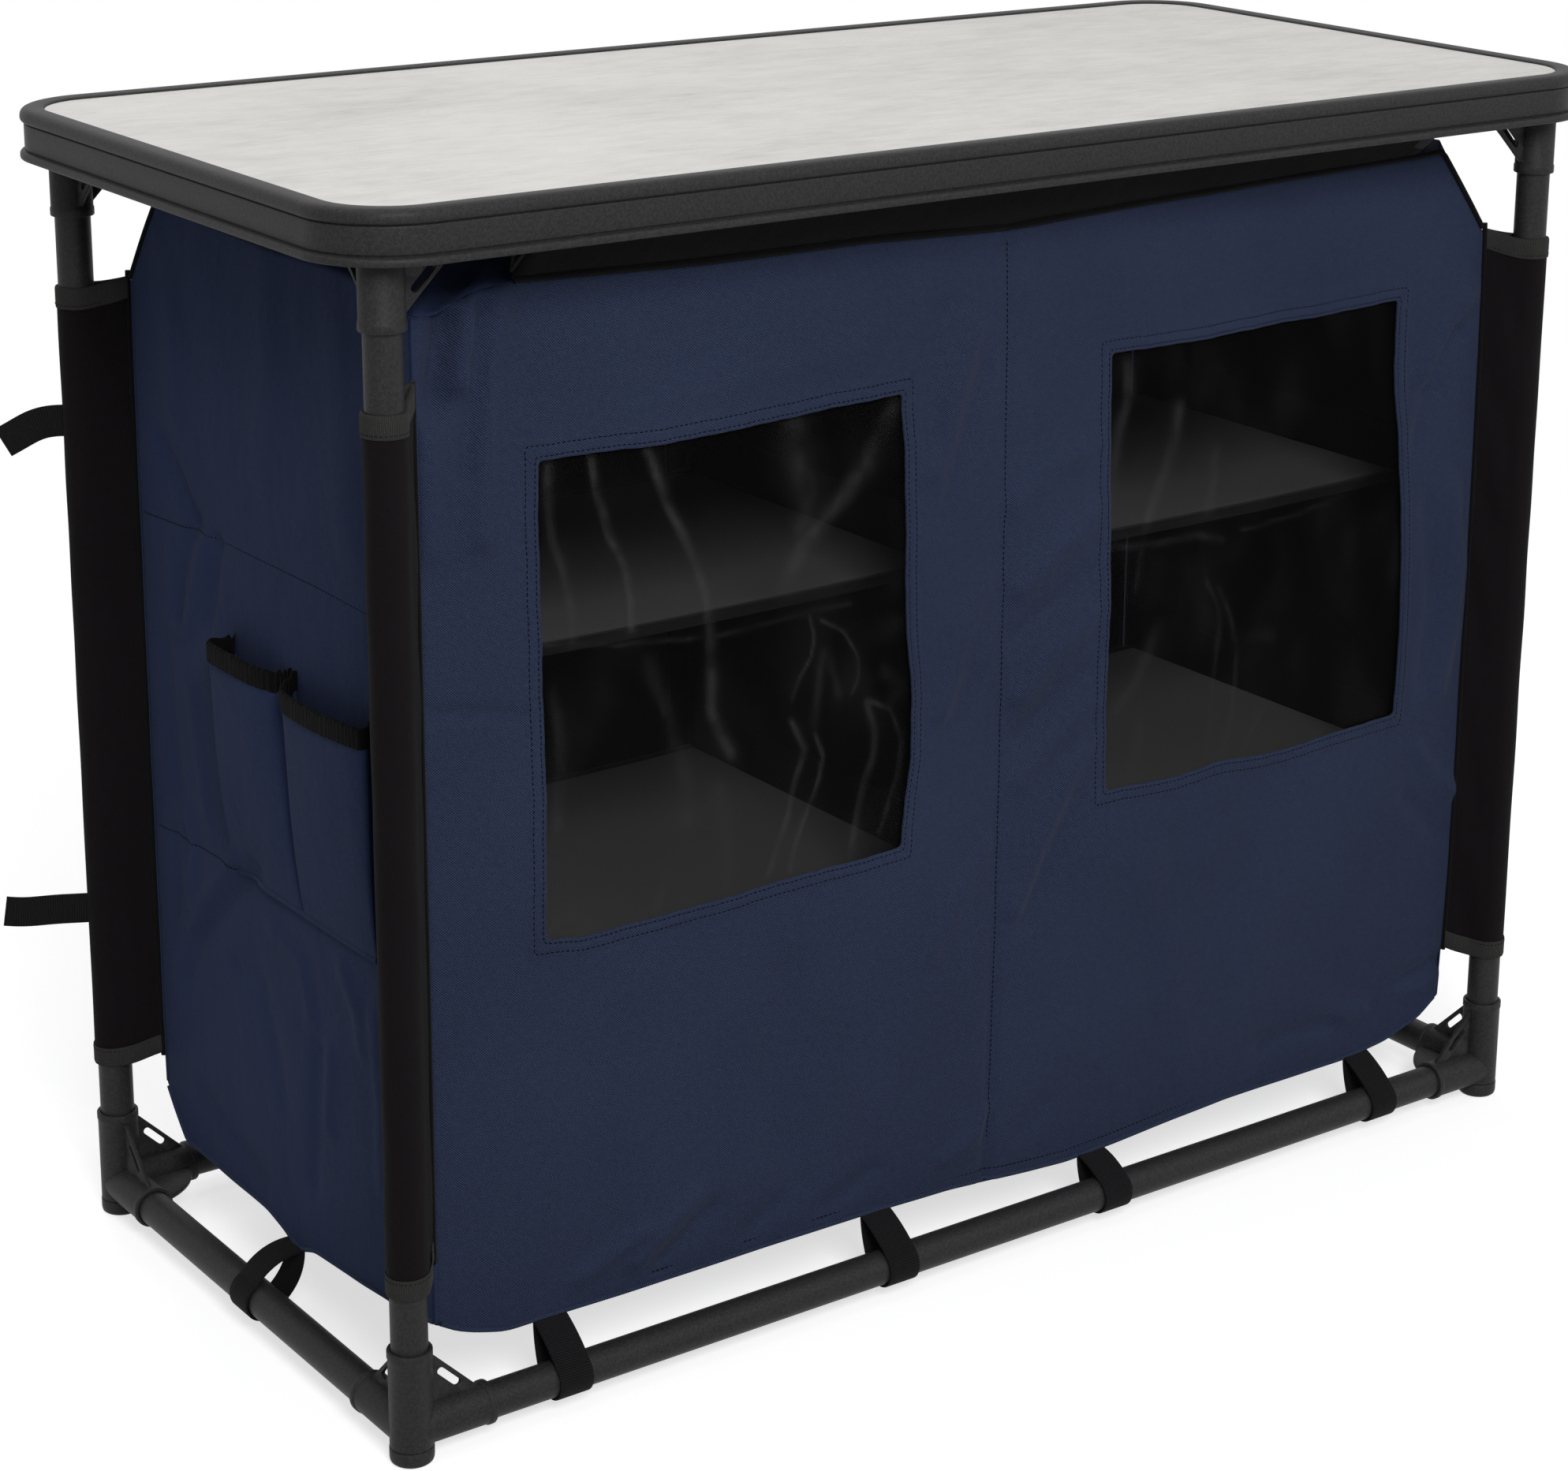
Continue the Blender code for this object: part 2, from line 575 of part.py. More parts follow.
def hung_sheet(name, across, upward, front, thickness, material, cut=()):
    """An upright sheet in small squares, pushed out by the front's relief, then cut."""
    columns = stops(across, HANG_STEP)
    rows = stops(upward, HANG_STEP)
    shape = bmesh.new()
    bmesh.ops.create_grid(shape, x_segments=len(columns) - 1, y_segments=len(rows) - 1, size=1)
    for point in shape.verts:
        x = columns[round((point.co.x + 1) / 2 * (len(columns) - 1))]
        z = rows[round((point.co.y + 1) / 2 * (len(rows) - 1))]
        x *= wall_half_width(z, WALL_X, TOP_CUT_X, BOTTOM_CUT_X) / WALL_X
        point.co = (x, front - front_relief(x, z), z)
    bmesh.ops.triangulate(shape, faces=shape.faces[:])
    mesh = bpy.data.meshes.new(name)
    shape.to_mesh(mesh)
    shape.free()
    sheet = add_object("sheet", mesh, None, tools)
    wall = sheet.modifiers.new("wall", "SOLIDIFY")
    wall.thickness = thickness
    wall.offset = -1
    add_object(name, combined(sheet, cut=cut), material)


def place_walls():
    """The windowed front with its films, and the two side walls."""
    window_middle = WINDOW_BOTTOM + WINDOW_HEIGHT / 2
    window = rounded_rectangle(WINDOW_WIDTH, WINDOW_HEIGHT, WINDOW_CORNER_RADIUS, 3)
    cutters = []
    for length_side in (-1, 1):
        cutter = sheet_solid("window", [window], 2 * (FRONT_BULGE + FOLD_HEIGHT + CUT_OVERRUN), None,
                             (length_side * WINDOW_CENTRE_X, -WALL_Y, window_middle), FACING_FRONT, tools)
        cutters.append(as_mesh_object(cutter))
    heights = (CABINET_BOTTOM, CABINET_BOTTOM + BOTTOM_CUT_Z, CABINET_TOP - TOP_CUT_Z, CABINET_TOP)
    hung_sheet("window_panel", (-WALL_X, 0, WALL_X), heights, -WALL_Y, FABRIC, NAVY, cutters)
    film_half = WINDOW_WIDTH / 2 + FILM_MARGIN
    film_heights = (WINDOW_BOTTOM - FILM_MARGIN, WINDOW_BOTTOM + WINDOW_HEIGHT + FILM_MARGIN)
    for hand, length_side in (("left", -1), ("right", 1)):
        middle = length_side * WINDOW_CENTRE_X
        hung_sheet(f"window_film_{hand}", (middle - film_half, middle + film_half), film_heights,
                   -INNER_Y, FILM_THICKNESS, FILM)
        side = wall_outline(-INNER_Y, WALL_Y, WALL_Y, TOP_CUT_Y, BOTTOM_CUT_Y)
        sheet_solid(f"side_panel_{hand}", [side], FABRIC, NAVY,
                    (length_side * (WALL_X - FABRIC / 2), 0, 0), FACING_SIDE)


def cut_corner_shell(level, rear_strip, cut_x, cut_y, cut_z):
    """The level face of the cabinet's box with its corner darts and its rear strip, as a surface.

    level is 1 for the roof and -1 for the floor."""
    shape = bmesh.new()
    bmesh.ops.create_cube(shape, size=1)
    box_bottom, box_top = CABINET_BOTTOM, CABINET_TOP
    bmesh.ops.scale(shape, verts=shape.verts, vec=(2 * INNER_X, INNER_Y + WALL_Y, box_top - box_bottom))
    bmesh.ops.translate(shape, verts=shape.verts,
                        vec=(0, (WALL_Y - INNER_Y) / 2, (box_top + box_bottom) / 2))
    face_height = box_top if level > 0 else box_bottom
    for side_x in (-1, 1):
        for side_y in (-1, 1):
            normal = Vector((side_x / cut_x, side_y / cut_y, level / cut_z))
            point = Vector((side_x * (WALL_X - cut_x), side_y * WALL_Y, face_height))
            everything = shape.verts[:] + shape.edges[:] + shape.faces[:]
            trimmed = bmesh.ops.bisect_plane(shape, geom=everything, plane_co=point, plane_no=normal,
                                             clear_outer=True)
            rim = [item for item in trimmed["geom_cut"] if isinstance(item, bmesh.types.BMEdge)]
            bmesh.ops.contextual_create(shape, geom=rim)
    strip_height = face_height - level * rear_strip
    everything = shape.verts[:] + shape.edges[:] + shape.faces[:]
    bmesh.ops.bisect_plane(shape, geom=everything, plane_co=(0, 0, strip_height), plane_no=(0, 0, 1))
    bmesh.ops.recalc_face_normals(shape, faces=shape.faces[:])
    unwanted = []
    for face in shape.faces:
        middle = face.calc_center_median()
        slanted = abs(face.normal.x) > MERGE and abs(face.normal.y) > MERGE
        is_level = face.normal.z * level > SINK_SHARE
        in_strip = face.normal.y > SINK_SHARE and (middle.z - strip_height) * level > 0
        if not (slanted or is_level or in_strip):
            unwanted.append(face)
    bmesh.ops.delete(shape, geom=unwanted, context="FACES")
    bmesh.ops.remove_doubles(shape, verts=shape.verts, dist=MERGE)
    mesh = bpy.data.meshes.new("shell")
    shape.to_mesh(mesh)
    shape.free()
    return mesh


def place_roof_and_floor():
    """Roof and floor of the cabinet, each with the strip that the doors close against."""
    shells = (("top_panel", 1, HEADER_HEIGHT, TOP_CUT_X, TOP_CUT_Y, TOP_CUT_Z),
              ("floor_panel", -1, SILL_HEIGHT, BOTTOM_CUT_X, BOTTOM_CUT_Y, BOTTOM_CUT_Z))
    for name, level, strip, cut_x, cut_y, cut_z in shells:
        shell = add_object(name, cut_corner_shell(level, strip, cut_x, cut_y, cut_z), NAVY)
        wall = shell.modifiers.new("wall", "SOLIDIFY")
        wall.thickness = FABRIC
        wall.offset = -1
        wall.use_even_offset = True


def place_inside():
    """The divider, the post strip behind it, and the four shelves with their sewn side flaps."""
    divider = rectangle(-INNER_Y, INNER_Y, CABINET_BOTTOM + FABRIC + SEAT_GAP,
                        CABINET_TOP - FABRIC - SEAT_GAP)
    sheet_solid("divider_panel", [divider], FABRIC, LINING, (0, 0, 0), FACING_SIDE)
    strip = rectangle(-POST_STRIP_WIDTH / 2, POST_STRIP_WIDTH / 2, DOOR_BOTTOM, DOOR_TOP)
    sheet_solid("centre_post_strip", [strip], FABRIC, NAVY, (0, WALL_Y - FABRIC / 2, 0), FACING_FRONT)

    near = FABRIC / 2 + SEAT_GAP
    far = INNER_X
    front = -WALL_Y + SHELF_FRONT_SETBACK
    rear = WALL_Y - SHELF_REAR_SETBACK
    for level, height in (("upper", UPPER_SHELF_HEIGHT), ("lower", LOWER_SHELF_HEIGHT)):
        underside = height - SHELF_THICKNESS
        flap_top = height + SHELF_SIDE_FLAP
        for hand, length_side in (("left", -1), ("right", 1)):
            section = [(near, underside), (far, underside), (far, flap_top), (far - FABRIC, flap_top),
                       (far - FABRIC, height), (near + FABRIC, height), (near + FABRIC, flap_top),
                       (near, flap_top)]
            section = [(length_side * x, z) for x, z in section]
            sheet_solid(f"shelf_{level}_{hand}", [section], rear - front, LINING,
                        (0, (front + rear) / 2, 0), FACING_FRONT)


def place_doors():
    """Two rear doors, each turning on its own upright edge, with a zip slider on its free edge."""
    edge_in = FABRIC + SEAT_GAP

    def outer_edge(height):
        cut = wall_half_width(height, WALL_X, TOP_CUT_X, BOTTOM_CUT_X) - edge_in
        return min(cut, INNER_X)

    top_turn = CABINET_TOP - TOP_CUT_Z
    bottom_turn = CABINET_BOTTOM + BOTTOM_CUT_Z
    heights = (DOOR_BOTTOM, bottom_turn, top_turn, DOOR_TOP)
    hinge_y = WALL_Y
    for hand, length_side in (("left", -1), ("right", 1)):
        hinge_x = length_side * INNER_X
        outline = [(length_side * outer_edge(height) - hinge_x, height) for height in heights]
        outline += [(length_side * DOOR_FREE_X - hinge_x, height) for height in (DOOR_TOP, DOOR_BOTTOM)]
        hinge = bpy.data.objects.new(f"door_hinge_{hand}", None)
        hinge.location = (hinge_x, hinge_y, 0)
        parts.objects.link(hinge)
        door = sheet_solid(f"door_{hand}", [outline], FABRIC, NAVY, (0, -FABRIC / 2, 0), FACING_FRONT)
        door.parent = hinge

        back = WALL_Y + SEAT_GAP
        middle_x = length_side * (DOOR_FREE_X + SLIDER_WIDTH / 2)
        bottom = DOOR_BOTTOM + SLIDER_REST_LIFT
        body = block((middle_x - SLIDER_WIDTH / 2, back, bottom),
                     (middle_x + SLIDER_WIDTH / 2, back + SLIDER_THICKNESS, bottom + SLIDER_LENGTH))
        pull_back = back + SLIDER_THICKNESS - PULL_THICKNESS
        pull_top = bottom + SLIDER_LENGTH / 2
        pull = block((middle_x - PULL_WIDTH / 2, pull_back + PULL_THICKNESS / 2, pull_top - PULL_LENGTH),
                     (middle_x + PULL_WIDTH / 2, pull_back + PULL_THICKNESS * 3 / 2, pull_top))
        add_object(f"zip_slider_{hand}", combined(body, [pull]), ZIP_METAL)


def band_outlines(tube, seam, thickness):
    """Outlines of a band that wraps a tube and closes at a seam: outer, then inner.

    The band lies on a circle round the tube and leaves it along both tangents to the seam."""
    inner_radius = TUBE_RADIUS + BAND_SLACK
    outer_radius = inner_radius + thickness
    run_x, run_y = seam[0] - tube[0], seam[1] - tube[1]
    distance = math.hypot(run_x, run_y)
    heading = math.atan2(run_y, run_x)
    opening = math.acos(outer_radius / distance)
    outlines = []
    for radius in (outer_radius, inner_radius):
        tip = distance * radius / outer_radius
        points = [(tube[0] + tip * math.cos(heading), tube[1] + tip * math.sin(heading))]
        for step in range(ROUND_SIDES + 1):
            angle = heading + opening + (2 * math.pi - 2 * opening) * step / ROUND_SIDES
            points.append((tube[0] + radius * math.cos(angle), tube[1] + radius * math.sin(angle)))
        outlines.append(points)
    return outlines


def place_leg_sleeves():
    """Black sleeves round the legs, each with its wing to the cabinet corner."""
    half_height = (SLEEVE_TOP - SLEEVE_BOTTOM) / 2
    middle = (SLEEVE_TOP + SLEEVE_BOTTOM) / 2
    for end, depth_side in (("front", -1), ("rear", 1)):
        for hand, length_side in (("left", -1), ("right", 1)):
            name = f"leg_sleeve_{end}_{hand}"
            tube = (length_side * LEG_X, depth_side * LEG_Y)
            clear = SEAT_GAP * 2
            seam = (length_side * (WALL_X + clear), depth_side * (WALL_Y + clear))
            outlines = band_outlines(tube, seam, BAND_THICKNESS)
            if end == "front":
                sheet_solid(name, outlines, 2 * half_height, BLACK, (0, 0, middle), LYING)
                continue
            sleeve = sheet_solid(name, outlines, 2 * half_height, None, (0, 0, middle), LYING, tools)
            ties = []
            for height, reach, turn in ((TIE_UPPER_HEIGHT, TIE_UPPER_REACH, TIE_UPPER_TURN),
                                        (TIE_LOWER_HEIGHT, TIE_LOWER_REACH, TIE_LOWER_TURN)):
                root = TUBE_RADIUS + BAND_SLACK + BAND_THICKNESS / 2
                strap = block((root, -WEBBING_THICKNESS / 2, height - TIE_WIDTH / 2),
                              (reach, WEBBING_THICKNESS / 2, height + TIE_WIDTH / 2))
                strap.rotation_euler = (0, 0, turn if length_side < 0 else math.pi - turn)
                strap.location = (tube[0], tube[1], 0)
                ties.append(strap)
            add_object(name, combined(as_mesh_object(sleeve), ties), BLACK)


def place_bands():
    """Top flaps over the long upper rails, and webbing loops round the lower rails."""
    for end, depth_side in (("front", -1), ("rear", 1)):
        rail = (depth_side * LEG_Y, UPPER_RAIL_HEIGHT)
        seam = (depth_side * WALL_Y, CABINET_TOP + SEAT_GAP)
        sheet_solid(f"top_flap_{end}", band_outlines(rail, seam, BAND_THICKNESS), TOP_FLAP_LENGTH,
                    BLACK, (0, 0, 0), FACING_SIDE)
        rail = (depth_side * LEG_Y, LOWER_RAIL_HEIGHT)
        seam = (depth_side * WALL_Y, CABINET_BOTTOM - SEAT_GAP)
        outlines = band_outlines(rail, seam, WEBBING_THICKNESS)
        for number, along in enumerate((-LOOP_OUTER_X, -LOOP_MIDDLE_X, LOOP_MIDDLE_X, LOOP_OUTER_X), 1):
            sheet_solid(f"rail_loop_{end}_{number}", outlines, LOOP_WIDTH, WEBBING,
                        (along, 0, 0), FACING_SIDE)
    for hand, length_side in (("left", -1), ("right", 1)):
        rail = (length_side * LEG_X, LOWER_RAIL_HEIGHT)
        seam = (length_side * WALL_X, CABINET_BOTTOM - SEAT_GAP)
        sheet_solid(f"rail_loop_{hand}", band_outlines(rail, seam, WEBBING_THICKNESS), LOOP_WIDTH,
                    WEBBING, (0, 0, 0), FACING_FRONT)


def place_pockets():
    """Two expanding pockets on the left wall: closed at the heel, standing open at the top."""
    back = WALL_X + SEAT_GAP
    heel = back + POCKET_HEEL
    mouth = back + POCKET_DEPTH
    outline = [(-back, POCKET_BOTTOM), (-heel, POCKET_BOTTOM), (-mouth, POCKET_TOP), (-back, POCKET_TOP)]
    middle = (POCKET_REAR_Y + POCKET_FRONT_Y) / 2
    width = POCKET_REAR_Y - POCKET_FRONT_Y
    shell = sheet_solid("pocket", [outline], width, None, (0, middle, 0), FACING_FRONT, tools)
    floor = POCKET_BOTTOM + POCKET_WALL
    slope = (mouth - heel) / (POCKET_TOP - POCKET_BOTTOM)
    above = POCKET_TOP + CUT_OVERRUN
    hollow = [(-back + CUT_OVERRUN, floor),
              (-heel + POCKET_WALL - slope * POCKET_WALL, floor),
              (-mouth + POCKET_WALL - slope * CUT_OVERRUN, above),
              (-back + CUT_OVERRUN, above)]
    cells = []
    for low, high in ((POCKET_FRONT_Y, POCKET_SPLIT_Y), (POCKET_SPLIT_Y, POCKET_REAR_Y)):
        clear_low = low + (POCKET_WALL if low == POCKET_FRONT_Y else POCKET_WALL / 2)
        clear_high = high - (POCKET_WALL if high == POCKET_REAR_Y else POCKET_WALL / 2)
        cell = sheet_solid("cell", [hollow], clear_high - clear_low, None,
                           (0, (clear_low + clear_high) / 2, 0), FACING_FRONT, tools)
        cells.append(as_mesh_object(cell))
    add_object("side_pockets", combined(as_mesh_object(shell), cut=cells), NAVY)


place_worktop()
place_tubes()
place_corners()
place_feet()
place_walls()
place_roof_and_floor()
place_inside()
place_doors()
place_leg_sleeves()
place_bands()
place_pockets()
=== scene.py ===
"""A fabric camp kitchen cupboard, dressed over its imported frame."""

import bmesh
import bpy
import numpy as np
from mathutils import Matrix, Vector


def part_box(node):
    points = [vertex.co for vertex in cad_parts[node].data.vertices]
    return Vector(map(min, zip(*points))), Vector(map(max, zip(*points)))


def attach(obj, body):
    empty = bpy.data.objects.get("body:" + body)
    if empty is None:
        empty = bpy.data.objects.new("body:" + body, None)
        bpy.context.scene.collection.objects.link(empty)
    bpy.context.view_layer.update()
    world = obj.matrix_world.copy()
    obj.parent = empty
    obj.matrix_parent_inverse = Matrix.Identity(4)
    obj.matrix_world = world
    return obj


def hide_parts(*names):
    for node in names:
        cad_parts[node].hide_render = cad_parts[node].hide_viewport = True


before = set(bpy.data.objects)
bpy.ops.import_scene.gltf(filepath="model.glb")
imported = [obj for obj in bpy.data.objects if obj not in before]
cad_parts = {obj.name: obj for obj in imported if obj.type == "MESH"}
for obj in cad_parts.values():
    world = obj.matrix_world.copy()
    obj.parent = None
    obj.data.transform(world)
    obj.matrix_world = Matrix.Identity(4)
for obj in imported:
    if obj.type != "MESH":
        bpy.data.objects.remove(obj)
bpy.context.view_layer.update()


# The view and the studio.
# The camera stands where the photograph's stood, in front and a little to the left. The
# cupboard stands on a pale floor under four large soft lamps and an even pale sky.

MM = 0.001
WHITE = (1.0, 1.0, 1.0, 1.0)
VIEW_PLACE = (-1.43585, -1.97463, 1.17568)
VIEW_HEADING, VIEW_TILT, VIEW_ROLL = -0.6372935, 1.2969444, 0.0107758


def placed(name, data):
    """A new object that shows the data, in the scene."""
    made = bpy.data.objects.new(name, data)
    bpy.context.scene.collection.objects.link(made)
    return made


camera = bpy.data.cameras.new("view")
camera.sensor_width = 36
camera.lens = 81.49
camera.shift_x = -0.0494
camera.shift_y = -0.1376
viewer = placed("view", camera)
turn = Matrix.Rotation(VIEW_HEADING, 4, "Z") @ Matrix.Rotation(VIEW_TILT, 4, "X")
viewer.matrix_world = Matrix.Translation(VIEW_PLACE) @ turn @ Matrix.Rotation(VIEW_ROLL, 4, "Z")
bpy.context.scene.camera = viewer
bpy.context.scene.view_settings.view_transform = "Standard"


class Flow:
    """A shader socket that takes part in sums as a number. Each operator adds one Math node."""

    def __init__(self, nodes, socket):
        self.nodes = nodes
        self.socket = socket

    def math(self, operation, first, *others):
        """One Math node: the operation on its values."""
        return self.nodes.node("ShaderNodeMath", {"operation": operation}, first, *others)

    def __add__(self, other):
        return self.math("ADD", self, other)

    def __radd__(self, other):
        return self.math("ADD", other, self)

    def __sub__(self, other):
        return self.math("SUBTRACT", self, other)

    def __rsub__(self, other):
        return self.math("SUBTRACT", other, self)

    def __mul__(self, other):
        return self.math("MULTIPLY", self, other)

    def __rmul__(self, other):
        return self.math("MULTIPLY", other, self)

    def __pow__(self, other):
        return self.math("POWER", self, other)

    def __abs__(self):
        return self.math("ABSOLUTE", self)

    def sine(self):
        """The sine of the value, taken in radians."""
        return self.math("SINE", self)

    def most(self, other):
        """The greater of the two values."""
        return self.math("MAXIMUM", self, other)

    def ramp(self, low, high):
        """0 at low, 1 at high, smooth between them and held outside them."""
        return self.nodes.node("ShaderNodeMapRange", {"interpolation_type": "SMOOTHSTEP"},
                               self, low, high, 0.0, 1.0)


class Nodes:
    """The node tree of a material or a world. Every node in it comes from one method."""

    def __init__(self, owner):
        owner.use_nodes = True
        self.tree = owner.node_tree

    def node(self, kind, settings=None, *values, sockets=None, out=0):
        """One node of a kind: its settings first, then the values or links of its sockets."""
        made = self.tree.nodes.new(kind)
        for name, value in (settings or {}).items():
            if name == "stops":
                band = made.color_ramp.elements
                while len(band) < len(value):
                    band.new(0.5)
                for stop, (place, colour) in zip(band, value):
                    stop.position = place
                    stop.color = (*colour, 1.0)
            else:
                setattr(made, name, value)
        for slot, value in list(enumerate(values)) + list((sockets or {}).items()):
            self.feed(made.inputs[slot], value)
        return Flow(self, made.outputs[out])

    def feed(self, socket, value):
        """Link a flow to a socket, or set the socket to a value."""
        if isinstance(value, Flow):
            self.tree.links.new(value.socket, socket)
        else:
            socket.default_value = value

    def seen(self):
        """1 for what the camera, gloss or clear film sees, 0 for light on its way to a surface."""
        looks = [self.node("ShaderNodeLightPath", out=f"Is {kind} Ray")
                 for kind in ("Camera", "Glossy", "Transmission")]
        return looks[0].most(looks[1]).most(looks[2])


class Finish(Nodes):
    """A material whose pattern is worked out by nodes. Fixed values go straight on its shader."""

    def __init__(self, name, **fixed):
        self.material = bpy.data.materials.new(name)
        super().__init__(self.material)
        self.shader = self.tree.nodes["Principled BSDF"]
        for socket, value in fixed.items():
            self.shader.inputs[socket.replace("_", " ")].default_value = value

    def noise(self, place, scale, detail=2.0, roughness=0.5):
        """Cloudy values from 0 to 1 about 0.5, so many clouds to the metre."""
        return self.node("ShaderNodeTexNoise", sockets={
            "Vector": place, "Scale": scale, "Detail": detail, "Roughness": roughness})

    def blend(self, share, first, second):
        """A colour between two colours."""
        return self.node("ShaderNodeMix", {"data_type": "RGBA"}, out=2,
                         sockets={0: share, 6: first, 7: second})

    def along(self, place):
        """The three coordinates of a place, each as a number."""
        return [self.node("ShaderNodeSeparateXYZ", None, place, out=axis) for axis in range(3)]

    def stretched(self, place, scale, turned=(0, 0, 0)):
        """A place turned, then scaled on each axis."""
        return self.node("ShaderNodeMapping",
                         sockets={"Vector": place, "Rotation": turned, "Scale": scale})

    def object_place(self):
        """The place in the piece's own axes, in metres."""
        return self.node("ShaderNodeTexCoord", out=3)

    def cloth_place(self):
        """The place on the flat cloth, in metres."""
        return self.node("ShaderNodeUVMap", {"uv_map": "cloth"})

    def relief(self, height, depth, strength=1.0):
        """Bump the surface by a height from 0 to 1, that many metres deep."""
        bump = self.node("ShaderNodeBump",
                         sockets={"Height": height, "Distance": depth, "Strength": strength})
        self.feed(self.shader.inputs["Normal"], bump)

    def paint(self, colour, roughness=None):
        """Give the shader a colour, and a roughness where one is worked out."""
        self.feed(self.shader.inputs["Base Color"], colour)
        if roughness is not None:
            self.feed(self.shader.inputs["Roughness"], roughness)


def studio_floor():
    """The floor: pale and matt within 0.95 m of the middle, to keep the shadow, white beyond 2.3 m.

    The camera, gloss and clear film see it a little brighter than the lamps alone make it."""
    pale = Finish("studio_floor", Roughness=0.9, Specular_IOR_Level=0.0)
    pale.paint((0.55, 0.55, 0.55, 1.0))
    x, y, _ = pale.along(pale.object_place())
    far = ((x * x + y * y) ** 0.5).ramp(0.95, 2.3)
    matt = Flow(pale, pale.shader.outputs[0])
    glow, white = (pale.node("ShaderNodeEmission", None, WHITE, power) for power in (0.67, 1.0))
    near = pale.node("ShaderNodeAddShader", None, matt, glow)
    shown = pale.node("ShaderNodeMixShader", None, far, near, white)
    mixed = pale.node("ShaderNodeMixShader", None, pale.seen(), matt, shown)
    pale.feed(pale.tree.nodes["Material Output"].inputs[0], mixed)
    mesh = bpy.data.meshes.new("studio_floor")
    reach = 12.0
    mesh.from_pydata([(-reach, -reach, 0), (reach, -reach, 0), (reach, reach, 0), (-reach, reach, 0)],
                     [], [(0, 1, 2, 3)])
    mesh.materials.append(pale.material)
    placed("studio_floor", mesh)


def studio_sky():
    """White wherever the camera, gloss or clear film looks past the object, a quarter of it as a light."""
    world = bpy.data.worlds.new("studio_sky")
    bpy.context.scene.world = world
    sky = Nodes(world)
    strength = sky.node("ShaderNodeMapRange", None, sky.seen(), 0.0, 1.0, 0.25, 1.0)
    background = sky.tree.nodes["Background"]
    sky.feed(background.inputs["Color"], WHITE)
    sky.feed(background.inputs["Strength"], strength)


def studio_lamp(name, place, aim_height, size, power):
    """A square soft lamp that faces a point on the upright through the middle. Gives the lamp back."""
    light = bpy.data.lights.new(name, "AREA")
    light.size = size
    light.energy = power
    lamp = placed(name, light)
    heading = np.subtract((0, 0, aim_height), place)
    lamp.location = place
    lamp.rotation_euler = (np.arccos(-heading[2] / np.linalg.norm(heading)), 0,
                           np.arctan2(-heading[0], heading[1]))
    return lamp


studio_floor()
studio_sky()
studio_lamp("key_lamp", (-1.15, -2.9, 2.6), 0.45, 1.3, 84.0)
studio_lamp("fill_lamp", (2.4, -2.4, 1.8), 0.4, 2.0, 14.0)
studio_lamp("top_lamp", (-0.6, 0.3, 3.4), 0.8, 2.4, 19.5)
studio_lamp("rear_lamp", (0.9, 3.3, 2.4), 0.45, 2.2, 40.0).visible_glossy = False


# Worktop board.
# A fibreboard panel faced with a pale stone-look laminate. Its edge is stepped down all
# round and sits in the rim's groove.

def stone_laminate():
    """Warm pale grey in soft clouds, with fine streaks along the board and short dark cracks."""
    stone = Finish("stone_laminate", Roughness=0.5, Specular_IOR_Level=0.2)
    place = stone.object_place()
    wide = stone.noise(stone.stretched(place, (1.0, 1.6, 1.0)), 5.0, 5.0, 0.6)
    mottle = stone.noise(stone.stretched(place, (1.0, 2.2, 1.0)), 26.0, 6.0, 0.65)
    streak = stone.noise(stone.stretched(place, (12.0, 110.0, 1.0)), 3.0, 4.0, 0.6)
    speck = stone.noise(stone.stretched(place, (160.0, 420.0, 1.0)), 1.0, 2.0, 0.5)
    cloud = wide * 0.42 + mottle * 0.33 + streak * 0.25
    colour = stone.node("ShaderNodeValToRGB", {"stops": (
        (0.34, (0.48, 0.485, 0.475)), (0.45, (0.595, 0.582, 0.56)),
        (0.53, (0.66, 0.642, 0.612)), (0.68, (0.74, 0.72, 0.69)))}, cloud)
    crack_line = stone.noise(stone.stretched(place, (7.0, 52.0, 1.0)), 4.0, 3.0, 0.7)
    patch = stone.noise(place, 9.0, 2.0, 0.5).ramp(0.56, 0.70)
    crack = abs(crack_line - 0.5).ramp(0.012, 0.002) * patch
    fine = speck.ramp(0.60, 0.78) * 0.10
    colour = stone.blend(crack * 0.35 + fine, colour, (0.27, 0.26, 0.25, 1.0))
    light = speck.ramp(0.42, 0.25) * 0.12
    colour = stone.blend(light, colour, (0.78, 0.76, 0.73, 1.0))
    stone.paint(colour, 0.42 + 0.14 * mottle)
    stone.relief(streak * 0.5 + speck * 0.5, 0.00006, 0.6)
    return stone.material


def refinish(node, material):
    """Give a frame node that keeps its own shape a worked finish."""
    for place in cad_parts[node].material_slots:
        place.material = material


refinish("worktop_board", stone_laminate())


# Worktop rim.
# One moulded charcoal section carried round the board: a low rounded bead on top, a groove
# line below it, a plain wall and a small lip at the foot. A ledge inside carries the board.

